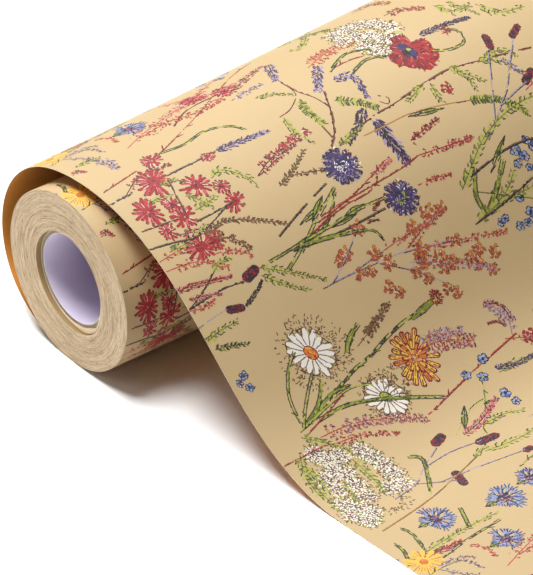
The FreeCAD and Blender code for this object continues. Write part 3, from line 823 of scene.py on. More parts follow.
    ('stem', [(11.0, 176.8), (18.9, 174.0), (27.9, 170.5)], 0.3, 'red'),
    ('stem', [(11.9, 174.6), (13.0, 166.4), (16.7, 159.6), (21.1, 155.5)], 0.42, 'green'),
    ('stem', [(11.9, 174.6), (16.4, 169.1), (22.6, 162.6)], 0.42, 'green'),
    ('spray', [(12.1, 178.9), (24.3, 179.2), (35.1, 182.4), (43.6, 186.8)], 'mauve', 'red', 4.8, 90),
    ('spray', [(15.0, 182.0), (25.8, 183.3), (33.8, 187.4)], 'rose', 'red', 2.2, 26),
    ('oval', (18.1, 133.5), (23.8, 131.4), 3.0, 'burn', 'navy'),
    ('oval', (9.3, 138.7), (14.9, 139.8), 2.4, 'burn', 'navy'),
    ('stem', [(0.4, 134.8), (11.3, 133.4), (18.0, 133.7)], 0.3, 'navy'),
    ('stem', [(0.4, 134.8), (7.5, 131.3), (11.9, 128.3)], 0.24, 'navy'),
    ('stem', [(-1.0, 140.1), (9.4, 138.5)], 0.26, 'lav'),
    ('sprig', [(11.9, 128.3), (15.4, 126.7), (18.0, 126.6)], 1.6, 'green'),
    ('sprig', [(24.0, 132.0), (31.1, 136.0), (39.4, 141.6)], 1.6, 'lime'),
    ('sprig', [(23.4, 134.1), (27.9, 138.2), (33.8, 142.3)], 1.5, 'green'),
    ('spike', [(15.1, 139.6), (19.6, 137.3), (22.8, 135.1)], 1.4, 'navy', 'dkgreen'),
    ('sprig', [(-0.7, 144.4), (5.6, 142.8), (10.8, 142.5)], 1.7, 'green'),
    ('sprig', [(1.3, 146.9), (5.9, 147.6), (10.3, 148.8)], 1.4, 'dkgreen'),
    ('fmn', (4.8, 155.9), 1.5),
    ('fmn', (4.6, 159.3), 1.4),
    ('fmn', (2.6, 157.3), 1.2),
    ('spike', [(1.8, 132.5), (6.4, 133.1), (10.7, 134.3)], 1.6, 'pink', 'rose'),
    ('spray', [(-0.9, 134.9), (4.1, 135.8), (8.3, 135.1)], 'coral', 'rose', 1.8, 12),
    ('sprig', [(5.6, 183.5), (3.7, 189.6), (3.1, 196.4), (3.2, 205.2)], 2.6, 'lime'),
    ('sprig', [(6.0, 180.9), (3.1, 187.1), (2.3, 194.3)], 2.0, 'green'),
    ('umbel', [(9.5, 182.3), (11.8, 185.2), (15.6, 185.4), (11.1, 188.5), (12.9, 191.0), (7.2, 190.0), (7.6, 194.2), (5.5, 199.0), (4.2, 203.4), (21.0, 186.8), (22.5, 189.8), (23.3, 193.5), (23.3, 197.4), (22.5, 201.6), (18.9, 200.9), (12.6, 195.7), (11.7, 200.1), (7.8, 202.6), (8.8, 205.5), (6.0, 208.0)], 2.7),
    ('sprig', [(17.5, 188.2), (17.8, 193.8), (17.0, 201.5)], 2.2, 'lime'),
    ('sprig', [(10.7, 192.8), (9.6, 197.2), (8.3, 201.0)], 1.7, 'green'),
    ('stem', [(0.3, 181.5), (6.9, 181.4), (15.3, 181.5), (18.9, 186.1)], 0.22, 'red'),
    ('sprig', [(9.7, 176.8), (15.3, 181.5), (18.9, 186.1)], 1.8, 'lime'),
    ('sprig', [(3.3, 184.3), (5.4, 188.3), (5.4, 193.7)], 1.9, 'lime'),
    ('stipple', (15.2, 204.2), 6.0, 40),
    ('oval', (38.4, 194.9), (43.7, 193.0), 2.8, 'burn', 'navy'),
    ('oval', (48.0, 200.3), (55.4, 200.7), 2.7, 'burn', 'navy'),
    ('oval', (36.1, 205.3), (34.1, 211.9), 2.7, 'burn', 'navy'),
    ('oval', (55.1, 210.2), (58.6, 209.7), 2.2, 'burn', 'navy'),
    ('stem', [(16.8, 205.0), (25.1, 203.5), (31.0, 199.9), (38.6, 195.8)], 0.28, 'lav'),
    ('stem', [(25.1, 203.5), (30.3, 206.6), (33.9, 208.5)], 0.26, 'lav'),
    ('stem', [(31.0, 199.9), (40.5, 198.9), (49.6, 200.0)], 0.26, 'lav'),
    ('stem', [(30.3, 206.6), (42.6, 207.8), (55.7, 209.6)], 0.26, 'lav'),
    ('blade', [(30.4, 194.5), (32.8, 197.8), (25.2, 209.0)], 0.9),
    ('vein', [(5.6, 213.2), (24.7, 210.2), (44.4, 204.3)]),
    ('vein', [(5.9, 213.1), (25.0, 210.1), (44.6, 204.2)]),
    ('sprig', [(44.1, 204.6), (47.1, 202.8), (49.4, 202.4)], 1.5, 'lime'),
    ('stem', [(43.4, 186.3), (62.6, 180.7), (81.8, 175.8)], 0.36, 'red'),
    ('fmn', (68.6, 178.4), 2.0),
    ('fmn', (65.1, 183.0), 1.8),
    ('fmn', (61.4, 180.5), 1.7),
    ('fmn', (66.9, 190.0), 1.9),
    ('fmn', (67.5, 193.6), 1.7),
    ('spray', [(80.6, 175.6), (82.2, 170.3), (78.6, 164.1)], 'lav', 'mauve', 5.0, 44),
    ('spike', [(82.7, 172.5), (82.7, 167.2), (78.4, 164.4)], 1.5, 'red', 'rose'),
    ('spike', [(80.5, 172.8), (79.1, 170.8), (76.1, 170.2)], 1.3, 'red', 'rose'),
    ('dots', (84.8, 178.3), 2.6, 'red'),
    ('stem', [(64.5, 183.8), (60.1, 190.5), (52.3, 198.5)], 0.3, 'lime'),
    ('stem', [(61.4, 188.9), (55.1, 190.0), (45.8, 195.2)], 0.3, 'lime'),
    ('leaf', (54.6, 188.2), (49.3, 194.7), 1.6),
    ('leaf', (59.6, 190.2), (63.3, 190.7), 1.0),
    ('sprig', [(54.6, 195.9), (61.7, 195.6), (67.0, 197.2)], 1.7, 'green'),
    ('sprig', [(70.3, 183.8), (76.2, 183.2), (81.6, 183.8)], 1.7, 'green'),
    ('corn', (18.5, 217.8), 5.6, 1),
    ('corn', (37.8, 221.7), 6.4, 1),
    ('corn', (25.9, 235.1), 5.4, 1),
    ('corn', (48.5, 219.5), 4.6, 1),
    ('spike', [(3.8, 228.7), (10.6, 228.4), (17.6, 228.7)], 3.0, 'red', 'rose'),
    ('blade', [(0.9, 228.4), (3.7, 223.1), (4.1, 219.6)], 0.7),
    ('blade', [(8.5, 224.9), (10.2, 218.7), (9.7, 215.5)], 0.7),
    ('blade', [(22.7, 225.9), (25.1, 221.1), (26.6, 218.0)], 0.8),
    ('sprig', [(1.7, 227.4), (14.7, 225.7), (23.3, 225.2), (32.1, 225.4)], 2.0, 'green'),
    ('stem', [(8.1, 231.1), (19.9, 229.0), (30.7, 228.0)], 0.36, 'dkgreen'),
    ('yell', (4.5, 69.3), 5.4),
    ('spray', [(5.6, 73.2), (12.0, 74.4), (13.8, 80.3)], 'lavd', 'lav', 1.6, 14),
    ('spray', [(5.4, 74.4), (9.2, 81.2), (10.7, 89.7)], 'lav', 'lavd', 2.2, 26),
    ('spray', [(7.9, 84.4), (11.8, 84.4), (11.3, 89.0)], 'lavd', 'lav', 2.2, 16),
    ('spray', [(7.5, 72.5), (13.1, 73.8), (15.3, 76.1)], 'lav', 'lavd', 1.2, 10),
    ('stem', [(0.1, 74.5), (6.5, 73.8), (12.0, 74.4)], 0.18, 'olive'),
    ('sprig', [(4.0, 81.2), (7.9, 81.2), (11.2, 82.0)], 1.4, 'lime'),
    ('spray', [(16.7, 71.7), (19.8, 73.7), (19.5, 79.0)], 'coral', 'rose', 1.8, 12),
    ('spray', [(0.4, 83.2), (3.0, 83.2), (4.1, 85.1)], 'maroon', 'rose', 1.4, 10),    # the rest of the repeat, further along the roll
    ('stem', [(92.0, 132.0), (108.0, 129.0), (124.0, 131.0)], 0.34, 'navy'), ('scab', (128.0, 132.0), 5.2, 'lav'),
    ('stem', [(92.0, 136.0), (104.0, 142.0), (113.0, 147.0)], 0.3, 'dkgreen'), ('scab', (116.0, 149.0), 4.6, 'green'),
    ('leaf', (98.0, 133.0), (107.0, 126.0), 1.5), ('sprig', [(88.0, 134.0), (102.0, 124.0), (118.0, 120.0), (134.0, 122.0)], 2.0, 'green'),
    ('spray', [(120.0, 118.0), (134.0, 114.0), (142.0, 108.0)], 'pink', 'rose', 2.6, 24),
    ('spike', [(134.0, 138.0), (140.0, 141.0), (144.0, 145.0)], 2.6, 'purple', 'lav'),
    ('corn', (108.0, 166.0), 5.4, 1), ('corn', (121.0, 171.0), 5.8, 1), ('stem', [(90.0, 172.0), (99.0, 169.0), (106.0, 166.0)], 0.36, 'dkgreen'),
    ('sprig', [(94.0, 176.0), (108.0, 178.0), (122.0, 180.0)], 1.9, 'green'), ('spike', [(102.0, 156.0), (114.0, 157.0), (124.0, 161.0)], 2.2, 'red', 'rose'),
    ('stipple', (132.0, 191.0), 9.0, 110), ('daisy', (131.0, 191.0), 6.6, 'orange'), ('stem', [(108.0, 196.0), (118.0, 195.0), (126.0, 192.0)], 0.42, 'green'),
    ('blade', [(106.0, 198.0), (114.0, 201.0), (124.0, 200.0)], 0.8), ('sprig', [(110.0, 192.0), (120.0, 186.0), (128.0, 182.0)], 1.6, 'brown'),
    ('mari', (114.0, 210.0), 6.4), ('stem', [(92.0, 206.0), (102.0, 207.0), (111.0, 209.0)], 0.4, 'dkgreen'), ('bud', (112.0, 218.0), (117.0, 220.0), 1.8, 'green'),
    ('umbel', [(84.0, 196.0), (89.0, 193.0), (94.0, 196.0), (91.0, 201.0), (85.0, 202.0)], 3.0), ('sprig', [(78.0, 192.0), (84.0, 188.0), (92.0, 188.0)], 1.8, 'lime'),
    ('stem', [(66.0, 200.0), (74.0, 199.0), (82.0, 198.0)], 0.3, 'lav'),
    ('poppy', (70.0, 216.0), 6.0), ('stem', [(50.0, 214.0), (58.0, 213.0), (65.0, 215.0)], 0.34, 'green'), ('leaf', (54.0, 216.0), (62.0, 220.0), 1.5),
    ('oval', (96.0, 216.0), (101.0, 218.0), 2.3, 'burn', 'navy'), ('oval', (92.0, 224.0), (97.0, 227.0), 2.2, 'burn', 'navy'), ('stem', [(78.0, 222.0), (86.0, 218.0), (96.0, 216.0)], 0.26, 'lav'),
    ('stem', [(78.0, 222.0), (85.0, 222.0), (92.0, 224.0)], 0.26, 'lav'), ('pinn', [(82.0, 228.0), (88.0, 231.0), (94.0, 236.0)], 1.8),
    ('spray', [(120.0, 226.0), (130.0, 222.0), (142.0, 220.0)], 'coral', 'rose', 3.2, 34), ('dots', (124.0, 222.0), 2.3, 'coral'), ('dots', (129.0, 226.0), 2.2, 'coral'), ('dots', (136.0, 223.0), 2.1, 'coral'),
    ('stem', [(106.0, 229.0), (116.0, 226.0), (126.0, 223.0)], 0.26, 'lav'), ('spike', [(48.0, 196.0), (56.0, 194.0), (64.0, 190.0)], 2.8, 'pink', 'rose'),
    ('sprig', [(48.0, 204.0), (58.0, 205.0), (70.0, 204.0)], 2.0, 'green'), ('fmn', (56.0, 228.0), 1.8), ('fmn', (60.0, 231.0), 1.7), ('fmn', (64.0, 228.0), 1.6),
    ('ragred', (46.0, 236.0), 3.6), ('ragred', (54.0, 240.0), 3.2), ('stem', [(34.0, 244.0), (42.0, 240.0), (52.0, 240.0)], 0.26, 'navy'),
    ('yell', (136.0, 158.0), 4.8), ('stem', [(124.0, 158.0), (130.0, 158.0), (134.0, 158.0)], 0.3, 'olive'), ('spray', [(78.0, 176.0), (88.0, 180.0), (98.0, 186.0)], 'pink', 'red', 2.6, 26),
    ('spike', [(70.0, 182.0), (77.0, 184.0), (84.0, 183.0)], 2.2, 'purple', 'lavd'), ('sprig', [(126.0, 178.0), (133.0, 175.0), (139.0, 174.0)], 1.6, 'brown'),
]
for name, *args in LAYOUT:
    DRAW[name](*args)
TILE_X, TILE_Y, DROP = 144.0, 160.0, 80.0


def strokes_in(x0, x1, y0, y1, dy=0.0):
    """The repeat's strokes, copied over a stretch of the web; every other column is dropped by half."""
    base = np.array(STROKES, float)
    out = []
    for col in range(-1, 4):
        for row in range(-4, 4):
            b = base.copy()
            b[:, [0, 2]] += TILE_X * col
            b[:, [1, 3]] += TILE_Y * row + DROP * (col % 2) + dy
            keep = ((b[:, [0, 2]].max(1) > x0 - 1) & (b[:, [0, 2]].min(1) < x1 + 1)
                    & (b[:, [1, 3]].max(1) > y0 - 1) & (b[:, [1, 3]].min(1) < y1 + 1))
            out.append(b[keep])
    return np.vstack(out)


K = 14
EDGE = 0.10              # how far the ink's rough edge may wander, mm


def carry(xe, nrow, y_of, row_of, strokes):
    """For each cell of the paper the strokes that cross it, lowest first: two (cells, K, 3) arrays."""
    ncol = len(xe) - 1
    xc, hx = (xe[:-1] + xe[1:]) / 2, (xe[1:] - xe[:-1]) / 2
    cells = {}
    for k in range(len(strokes)):
        x0, y0, x1, y1, w0, w1, _ink = strokes[k]
        w = max(w0, w1) * 1.3 + EDGE
        c0 = max(0, int(np.searchsorted(xe, min(x0, x1) - w)) - 1)
        c1 = min(ncol, int(np.searchsorted(xe, max(x0, x1) + w)))
        if c0 >= c1:
            continue
        lo, hi = min(y0, y1) - w, max(y0, y1) + w
        r0 = max(0, int(min(row_of(lo, xe[c0]), row_of(lo, xe[c1]))))
        r1 = min(nrow, int(max(row_of(hi, xe[c0]), row_of(hi, xe[c1]))) + 1)
        if r0 >= r1:
            continue
        gx = xc[c0:c1][:, None]
        rr = np.arange(r0, r1)[None, :]
        ya, yb = y_of(rr, gx), y_of(rr + 1, gx)
        gy, hy = (ya + yb) / 2, (yb - ya) / 2
        dx, dy = x1 - x0, y1 - y0
        q = dx * dx + dy * dy
        t = np.clip(((gx - x0) * dx + (gy - y0) * dy) / q, 0, 1) if q > 1e-9 else 0.0
        d = np.hypot(gx - x0 - t * dx, gy - y0 - t * dy)
        reach = np.hypot(hx[c0:c1][:, None], hy)
        near_x = np.abs(gx - x0 - t * dx) < hx[c0:c1][:, None] + w + 0.12
        near_y = np.abs(gy - y0 - t * dy) < hy + w + 0.12
        for i, j in np.argwhere((d < w + reach) & near_x & near_y):
            cells.setdefault((c0 + int(i)) * nrow + r0 + int(j), []).append((k, float(d[i, j]), float(reach[i, j])))
    a = np.zeros((ncol * nrow, K, 3), np.float32)
    b = np.zeros((ncol * nrow, K, 3), np.float32)
    a[:, :, 2] = -1.0
    for cell, found in cells.items():
        kept = []
        for k, d, reach in reversed(found):
            kept.append((k, max(strokes[k][4], strokes[k][5]) + reach - d))
            if d + reach < min(strokes[k][4], strokes[k][5]) * 0.8 - EDGE:
                break
        if len(kept) > K:                        # too many: the least of them go
            least = sorted(p[1] for p in kept)[len(kept) - K]
            kept = [p for p in kept if p[1] >= least][:K]
        kept = [p[0] for p in kept]
        for n, k in enumerate(kept):
            x0, y0, x1, y1, w0, w1, ink = strokes[k]
            a[cell, K - 1 - n] = (x0, y0, w0)
            b[cell, K - 1 - n] = (x1 - x0, y1 - y0, ink + 0.45 * min(2.0, w1 / max(w0, 1e-3)) + 0.001)
    return a, b


# ------------------------------------------------------------------ node helper
class Nodes:
    def __init__(self, name):
        self.mat = bpy.data.materials.new(name)
        self.mat.use_nodes = True
        self.t = self.mat.node_tree
        self.t.nodes.clear()
        self.out = self.add("ShaderNodeOutputMaterial")

    def add(self, kind, **props):
        n = self.t.nodes.new(kind)
        for k, v in props.items():
            setattr(n, k, v)
        return n

    def put(self, sock, v):
        if hasattr(v, "links") or isinstance(v, bpy.types.NodeSocket):
            self.t.links.new(v, sock)
        else:
            sock.default_value = v

    def math(self, op, a, b=None, c=None, clamp=False):
        n = self.add("ShaderNodeMath", operation=op, use_clamp=clamp)
        for i, v in enumerate((a, b, c)):
            if v is not None:
                self.put(n.inputs[i], v)
        return n.outputs[0]

    def vec(self, op, a, b=None, scale=None):
        n = self.add("ShaderNodeVectorMath", operation=op)
        self.put(n.inputs[0], a)
        if b is not None:
            self.put(n.inputs[1], b)
        if scale is not None:
            self.put(n.inputs["Scale"], scale)
        return n.outputs["Value"] if op in ("DOT_PRODUCT", "LENGTH") else n.outputs["Vector"]

    def attr(self, name):
        return self.add("ShaderNodeAttribute", attribute_name=name).outputs["Vector"]

    def sep(self, v):
        n = self.add("ShaderNodeSeparateXYZ")
        self.put(n.inputs[0], v)
        return n.outputs

    def noise(self, v, scale, detail=3.0, rough=0.5, distort=0.0):
        n = self.add("ShaderNodeTexNoise")
        self.put(n.inputs["Vector"], v)
        n.inputs["Scale"].default_value = scale
        n.inputs["Detail"].default_value = detail
        n.inputs["Roughness"].default_value = rough
        n.inputs["Distortion"].default_value = distort
        return n.outputs

    def ramp(self, fac, stops, mode="LINEAR"):
        n = self.add("ShaderNodeValToRGB")
        r = n.color_ramp
        r.interpolation = mode
        r.elements[0].position = stops[0][0]
        r.elements[-1].position = stops[-1][0]
        for p, _c in stops[1:-1]:
            r.elements.new(p)
        for e, (_p, c) in zip(r.elements, stops):
            e.color = (*c, 1) if len(c) == 3 else c
        self.put(n.inputs[0], fac)
        return n.outputs[0]

    def mix(self, f, a, b, how="MIX"):
        n = self.add("ShaderNodeMix", data_type="RGBA", blend_type=how)
        self.put(n.inputs[0], f)
        for s, v in ((n.inputs[6], a), (n.inputs[7], b)):
            self.put(s, (*v, 1) if isinstance(v, tuple) and len(v) == 3 else v)
        return n.outputs[2]

    def bsdf(self, colour, rough, bump=None, strength=0.3, distance=0.0001, **more):
        p = self.add("ShaderNodeBsdfPrincipled")
        self.put(p.inputs["Base Color"], (*colour, 1) if isinstance(colour, tuple) else colour)
        self.put(p.inputs["Roughness"], rough)
        for k, v in more.items():
            self.put(p.inputs[k.replace("_", " ")], v)
        if bump is not None:
            b = self.add("ShaderNodeBump")
            b.inputs["Strength"].default_value = strength
            b.inputs["Distance"].default_value = distance
            self.put(b.inputs["Height"], bump)
            self.put(p.inputs["Normal"], b.outputs[0])
        self.put(self.out.inputs[0], p.outputs[0])
        return self.mat


def fibres(t, where, size=1.0):
    """Kraft fibres and cloudiness in mm coordinates: (fine, cloud) between 0 and 1."""
    n = t.add("ShaderNodeMapping")
    t.put(n.inputs["Vector"], where)
    n.inputs["Scale"].default_value = (0.55 * size, 2.4 * size, 1.0)
    n.inputs["Rotation"].default_value = (0, 0, 0.2)
    fine = t.noise(n.outputs[0], 1.6, 5, 0.65, 0.6)[0]
    cloud = t.noise(where, 0.055, 4, 0.55)[0]
    return fine, cloud


PAPER_A, PAPER_B = (0.398, 0.282, 0.140), (0.462, 0.342, 0.186)


def printed(name):
    t = Nodes(name)
    web = t.attr("web")
    rough3 = t.noise(web, 1.9, 2.0, 0.55)
    off = t.vec("SCALE", t.vec("SUBTRACT", rough3[1], (0.5, 0.5, 0.5)), scale=0.30)
    pen = t.vec("MULTIPLY", t.vec("ADD", web, off), (1, 1, 0))
    grain = t.noise(web, 3.4, 2.0, 0.6)[0]
    weight = t.math("MULTIPLY_ADD", grain, 1.7, 0.10)        # about 0.5 to 1.4: the ink breaks up
    ink = 0.0
    for k in range(K):
        a, b = t.attr("A%02d" % k), t.attr("B%02d" % k)
        aw, code = t.sep(a)[2], t.sep(b)[2]
        a2, d2 = t.vec("MULTIPLY", a, (1, 1, 0)), t.vec("MULTIPLY", b, (1, 1, 0))
        pa = t.vec("SUBTRACT", pen, a2)
        along = t.math("DIVIDE", t.vec("DOT_PRODUCT", pa, d2),
                       t.math("MAXIMUM", t.vec("DOT_PRODUCT", d2, d2), 1e-6), clamp=True)
        dist = t.vec("LENGTH", t.vec("SUBTRACT", pa, t.vec("SCALE", d2, scale=along)))
        idx = t.math("FLOOR", code)
        taper = t.math("MULTIPLY_ADD", t.math("SUBTRACT", code, idx), 1 / 0.45, -1.0)
        width = t.math("MULTIPLY", aw, t.math("MULTIPLY_ADD", along, taper, 1.0))
        # thin lines keep breaking up, broad fills stay solid
        size = t.math("ADD", t.math("MULTIPLY", t.math("MINIMUM", width, 0.35), weight),
                      t.math("MAXIMUM", t.math("SUBTRACT", width, 0.35), 0.0))
        inside = t.math("LESS_THAN", dist, size)
        m = t.add("ShaderNodeMix", data_type="FLOAT")
        t.put(m.inputs[0], inside)
        t.put(m.inputs[2], ink)
        t.put(m.inputs[3], idx)
        ink = m.outputs[0]
    n = len(INK_NAMES)
    colour = t.ramp(t.math("DIVIDE", t.math("ADD", ink, 0.5), n),
                    [(i / n, INKS[k]) for i, k in enumerate(INK_NAMES)], "CONSTANT")
    fine, cloud = fibres(t, web)
    base = t.mix(t.math("MULTIPLY_ADD", fine, 0.5, t.math("MULTIPLY", cloud, 0.5)), PAPER_A, PAPER_B)
    flecks = t.noise(web, 2.3, 1.0, 0.5, 1.2)[0]
    base = t.mix(t.math("MULTIPLY", t.math("GREATER_THAN", flecks, 0.735), 0.22), base, (0.42, 0.26, 0.12))
    has = t.math("GREATER_THAN", ink, 0.5)
    cover = t.math("MULTIPLY", has, t.math("MULTIPLY_ADD", fine, 0.12, 0.90), clamp=True)
    shown = t.mix(cover, base, colour)
    rough = t.math("MULTIPLY_ADD", fine, 0.16, t.math("MULTIPLY_ADD", has, -0.06, 0.50))
    return t.bsdf(shown, rough, fine, 0.22, 0.00006, Specular_IOR_Level=0.32)


def kraft(name, lo, hi, scale=1.0, rough=0.72, coords="web"):
    t = Nodes(name)
    where = t.attr("web") if coords == "web" else t.vec(
        "SCALE", t.add("ShaderNodeTexCoord").outputs["Object"], scale=1000.0)
    fine, cloud = fibres(t, where, scale)
    c = t.mix(t.math("MULTIPLY_ADD", fine, 0.6, t.math("MULTIPLY", cloud, 0.4)), lo, hi)
    flecks = t.noise(where, 1.7, 2.0, 0.6, 1.5)[0]
    c = t.mix(t.math("MULTIPLY", t.math("GREATER_THAN", flecks, 0.70), 0.35), c, tuple(0.45 * x for x in lo))
    return t.bsdf(c, t.math("MULTIPLY_ADD", fine, 0.15, rough - 0.08), fine, 0.35, 0.00008)


def layers(name):
    """Cut ends of the wound paper: x of attribute lay counts turns."""
    t = Nodes(name)
    lay = t.attr("lay")
    m = t.add("ShaderNodeMapping")
    t.put(m.inputs["Vector"], lay)
    m.inputs["Scale"].default_value = (0.52, 0.13, 0.13)
    fine = t.noise(m.outputs[0], 1.15, 3.0, 0.7, 0.25)[0]
    m2 = t.add("ShaderNodeMapping")
    t.put(m2.inputs["Vector"], lay)
    m2.inputs["Scale"].default_value = (0.28, 0.16, 0.16)
    broad = t.noise(m2.outputs[0], 1.0, 2.0, 0.5, 0.4)[0]
    c = t.ramp(t.math("MULTIPLY_ADD", fine, 0.75, t.math("MULTIPLY", broad, 0.30)),
               [(0.32, (0.16, 0.100, 0.052)), (0.42, (0.42, 0.300, 0.168)), (0.53, (0.57, 0.425, 0.262)), (0.72, (0.70, 0.560, 0.385))])
    # painted shade: the dark dashes along the turns stand in for the shade in the gaps between wound layers
    gap_shade = t.noise(t.vec("MULTIPLY", lay, (0.62, 0.55, 0.55)), 1.0, 2.0, 0.55, 0.3)[0]
    c = t.mix(t.math("MULTIPLY", t.math("GREATER_THAN", gap_shade, 0.605), 0.42), c, (0.15, 0.092, 0.045))
    # ink bled onto the cut edges
    spots = t.noise(t.vec("MULTIPLY", lay, (0.9, 1.1, 1.1)), 1.0, 2.0, 0.6)
    where = t.math("GREATER_THAN", spots[0], 0.665)
    hue = t.sep(spots[1])[1]
    ink = t.ramp(hue, [(0.0, INKS["dkgreen"]), (0.46, INKS["dark"]), (0.52, INKS["maroon"]), (0.60, INKS["red"])], "CONSTANT")
    c = t.mix(t.math("MULTIPLY", where, 0.42), c, ink)
    return t.bsdf(c, 0.78, t.math("MULTIPLY_ADD", fine, 1.0, t.math("MULTIPLY", broad, 0.4)), 0.75, 0.00018)


def board(name, lo, hi, ring=0.0, painted_bore_light=False):
    """Grey chipboard or lining paper, object coordinates in mm."""
    t = Nodes(name)
    where = t.vec("SCALE", t.add("ShaderNodeTexCoord").outputs["Object"], scale=1000.0)
    fine = t.noise(where, 1.9, 5.0, 0.65, 0.8)[0]
    cloud = t.noise(where, 0.12, 3.0, 0.5)[0]
    f = t.math("MULTIPLY_ADD", fine, 0.65, t.math("MULTIPLY", cloud, 0.35))
    c = t.mix(f, lo, hi)
    h = fine
    if ring:
        # spiral seam of the lining
        s = t.sep(where)
        turn = t.math("DIVIDE", t.math("ARCTAN2", s[2], s[1]), 2 * math.pi)
        k = t.math("FRACT", t.math("ADD", t.math("DIVIDE", s[0], ring), turn))
        seam = t.math("LESS_THAN", t.math("ABSOLUTE", t.math("SUBTRACT", k, 0.5)), 0.006)
        c = t.mix(t.math("MULTIPLY", seam, 0.55), c, tuple(0.45 * x for x in lo))
        h = t.math("SUBTRACT", fine, t.math("MULTIPLY", seam, 2.0))
    if painted_bore_light:
        # painted light and shade: the lining is drawn lighter near the open ends where light falls in, and darker deep
        # inside where shade falls
        deep = t.math("SUBTRACT", 216.0, t.math("ABSOLUTE", t.sep(where)[0]))
        k = t.math("MULTIPLY", t.math("SUBTRACT", 1.0, t.math("MINIMUM", t.math("DIVIDE", deep, 22.0), 1.0)), 0.80)
        c = t.mix(t.math("MINIMUM", t.math("DIVIDE", deep, 60.0), 1.0), c, tuple(0.55 * x for x in lo))
        c = t.mix(k, c, (0.80, 0.74, 0.88))
    flecks = t.noise(where, 3.1, 2.0, 0.6, 0.5)[0]
    c = t.mix(t.math("MULTIPLY", t.math("GREATER_THAN", flecks, 0.70), 0.30 if not painted_bore_light else 0.05), c, tuple(0.4 * x for x in lo))
    return t.bsdf(c, 0.82, h, 0.4, 0.00010)


MAT_PRINT = printed("printed_kraft")
# the inner face's saturated orange is partly painted light: over the kraft's own brown it stands in for light shining
# through the thin paper
MAT_INSIDE = kraft("kraft_inside_painted_glow", (0.62, 0.230, 0.030), (0.76, 0.320, 0.055))
MAT_CUT = kraft("paper_cut_edge", (0.74, 0.60, 0.40), (0.86, 0.74, 0.54), 2.0, 0.8)
MAT_LAYERS = layers("paper_layers")
MAT_LAP = kraft("kraft_lap", (0.60, 0.44, 0.25), (0.78, 0.62, 0.40), 1.0, 0.75, "object")
# the hole's wall is the same kraft drawn much darker: painted shade of the recess inside the pack
MAT_HOLE = kraft("kraft_hole_painted_shade", (0.27, 0.17, 0.065), (0.40, 0.27, 0.115), 1.0, 0.75, "object")
# the lavender lining, with painted light at its open ends and painted shade deep inside
MAT_LINER = board("liner_lavender", (0.475, 0.370, 0.560), (0.555, 0.450, 0.640), painted_bore_light=True)
# grey chipboard and cover, drawn darker than the bare board: partly painted shade of the core's recessed rim
MAT_BOARD = board("chipboard_grey", (0.210, 0.170, 0.120), (0.420, 0.365, 0.290))
MAT_COVER = board("core_cover_grey", (0.260, 0.205, 0.130), (0.420, 0.350, 0.250))
MAT_RIM = board("liner_cut_edge", (0.560, 0.530, 0.520), (0.760, 0.740, 0.720))
MAT_TAPE = board("tape_clear", (0.560, 0.540, 0.480), (0.680, 0.660, 0.600))


def make(name, verts, faces, mats, index, smooth_angle=40.0):
    mesh = bpy.data.meshes.new(name)
    mesh.from_pydata(verts, [], faces)
    for m in mats:
        mesh.materials.append(m)
    mesh.polygons.foreach_set("material_index", np.array(index, np.int32))
    mesh.polygons.foreach_set("use_smooth", np.ones(len(faces), bool))
    mesh.update()
    mesh.set_sharp_from_angle(angle=math.radians(smooth_angle))
    obj = bpy.data.objects.new(name, mesh)
    bpy.context.scene.collection.objects.link(obj)
    return obj


def set_strokes(mesh, a, b):
    n, have = len(mesh.polygons), a.shape[0]
    for k in range(K):
        for tag, src in (("A", a), ("B", b)):
            full = np.zeros((n, 3), np.float32)
            if tag == "A":
                full[:, 2] = -1.0
            full[:have] = src[:, k]
            mesh.attributes.new("%s%02d" % (tag, k), "FLOAT_VECTOR", "FACE").data.foreach_set("vector", full.ravel())


# ------------------------------------------------------------------ the sheet: loose turn, drape and free end
FINE_X = 150.7
xe = np.r_[np.linspace(0, FINE_X, 138), np.linspace(FINE_X, WEB_W, 138)[1:]]
S_START = -2.0
N1, N2 = 200, 84
END_NEAR = FREE_U - HINGE_U


def sheet_y(r, x):
    r = np.asarray(r, float) + 0 * np.asarray(x, float)
    return np.where(r <= N1, S_START + (SH - S_START) * r / N1,
                    SH + (r - N1) / N2 * (END_NEAR - SKEW_FLOOR * x))


def sheet_row(y, x):
    return (y - S_START) / (SH - S_START) * N1 if y <= SH else N1 + (y - SH) / (END_NEAR - SKEW_FLOOR * x) * N2


NROW, NCOL = N1 + N2, len(xe) - 1
gx, gr = np.meshgrid(xe, np.arange(NROW + 1), indexing="ij")
gs = sheet_y(gr, gx)


def paper(x, s):
    p = surf(x, s)
    s_end = SH + END_NEAR - SKEW_FLOOR * x
    curl = np.clip((s - (s_end - 34.0)) / 34.0, 0, 1)
    p[..., 2] += 0.9 * curl ** 2 * (1 + 0.35 * np.sin(x / 47.0)) + 0.10 * np.clip((s - SH) / 20, 0, 1) * (1 + np.sin(x / 29.0 + s / 13.0))
    return p


P = paper(gx, gs)
e = 0.4
ds = paper(gx, gs + e) - paper(gx, gs - e)
dx = paper(gx + e, gs) - paper(gx - e, gs)
N = np.cross(ds, dx)
N /= np.linalg.norm(N, axis=-1, keepdims=True)
OUT = P + N * T_SHEET / 2
INN = P - N * T_SHEET / 2
coarse = sorted(set(range(0, NCOL + 1, 10)) | {NCOL, 119})
R1 = NROW + 1
verts = np.vstack([OUT.reshape(-1, 3), INN[coarse].reshape(-1, 3)]) * MM
web = np.vstack([np.stack([gx, gs, 0 * gs], -1).reshape(-1, 3), np.stack([gx, gs, 0 * gs + 30], -1)[coarse].reshape(-1, 3)])
base_i = (NCOL + 1) * R1
faces, index = [], []
for c in range(NCOL):
    a0, a1 = c * R1, (c + 1) * R1
    faces.extend((a0 + r, a0 + r + 1, a1 + r + 1, a1 + r) for r in range(NROW))
index += [0] * len(faces)
n_print = len(faces)
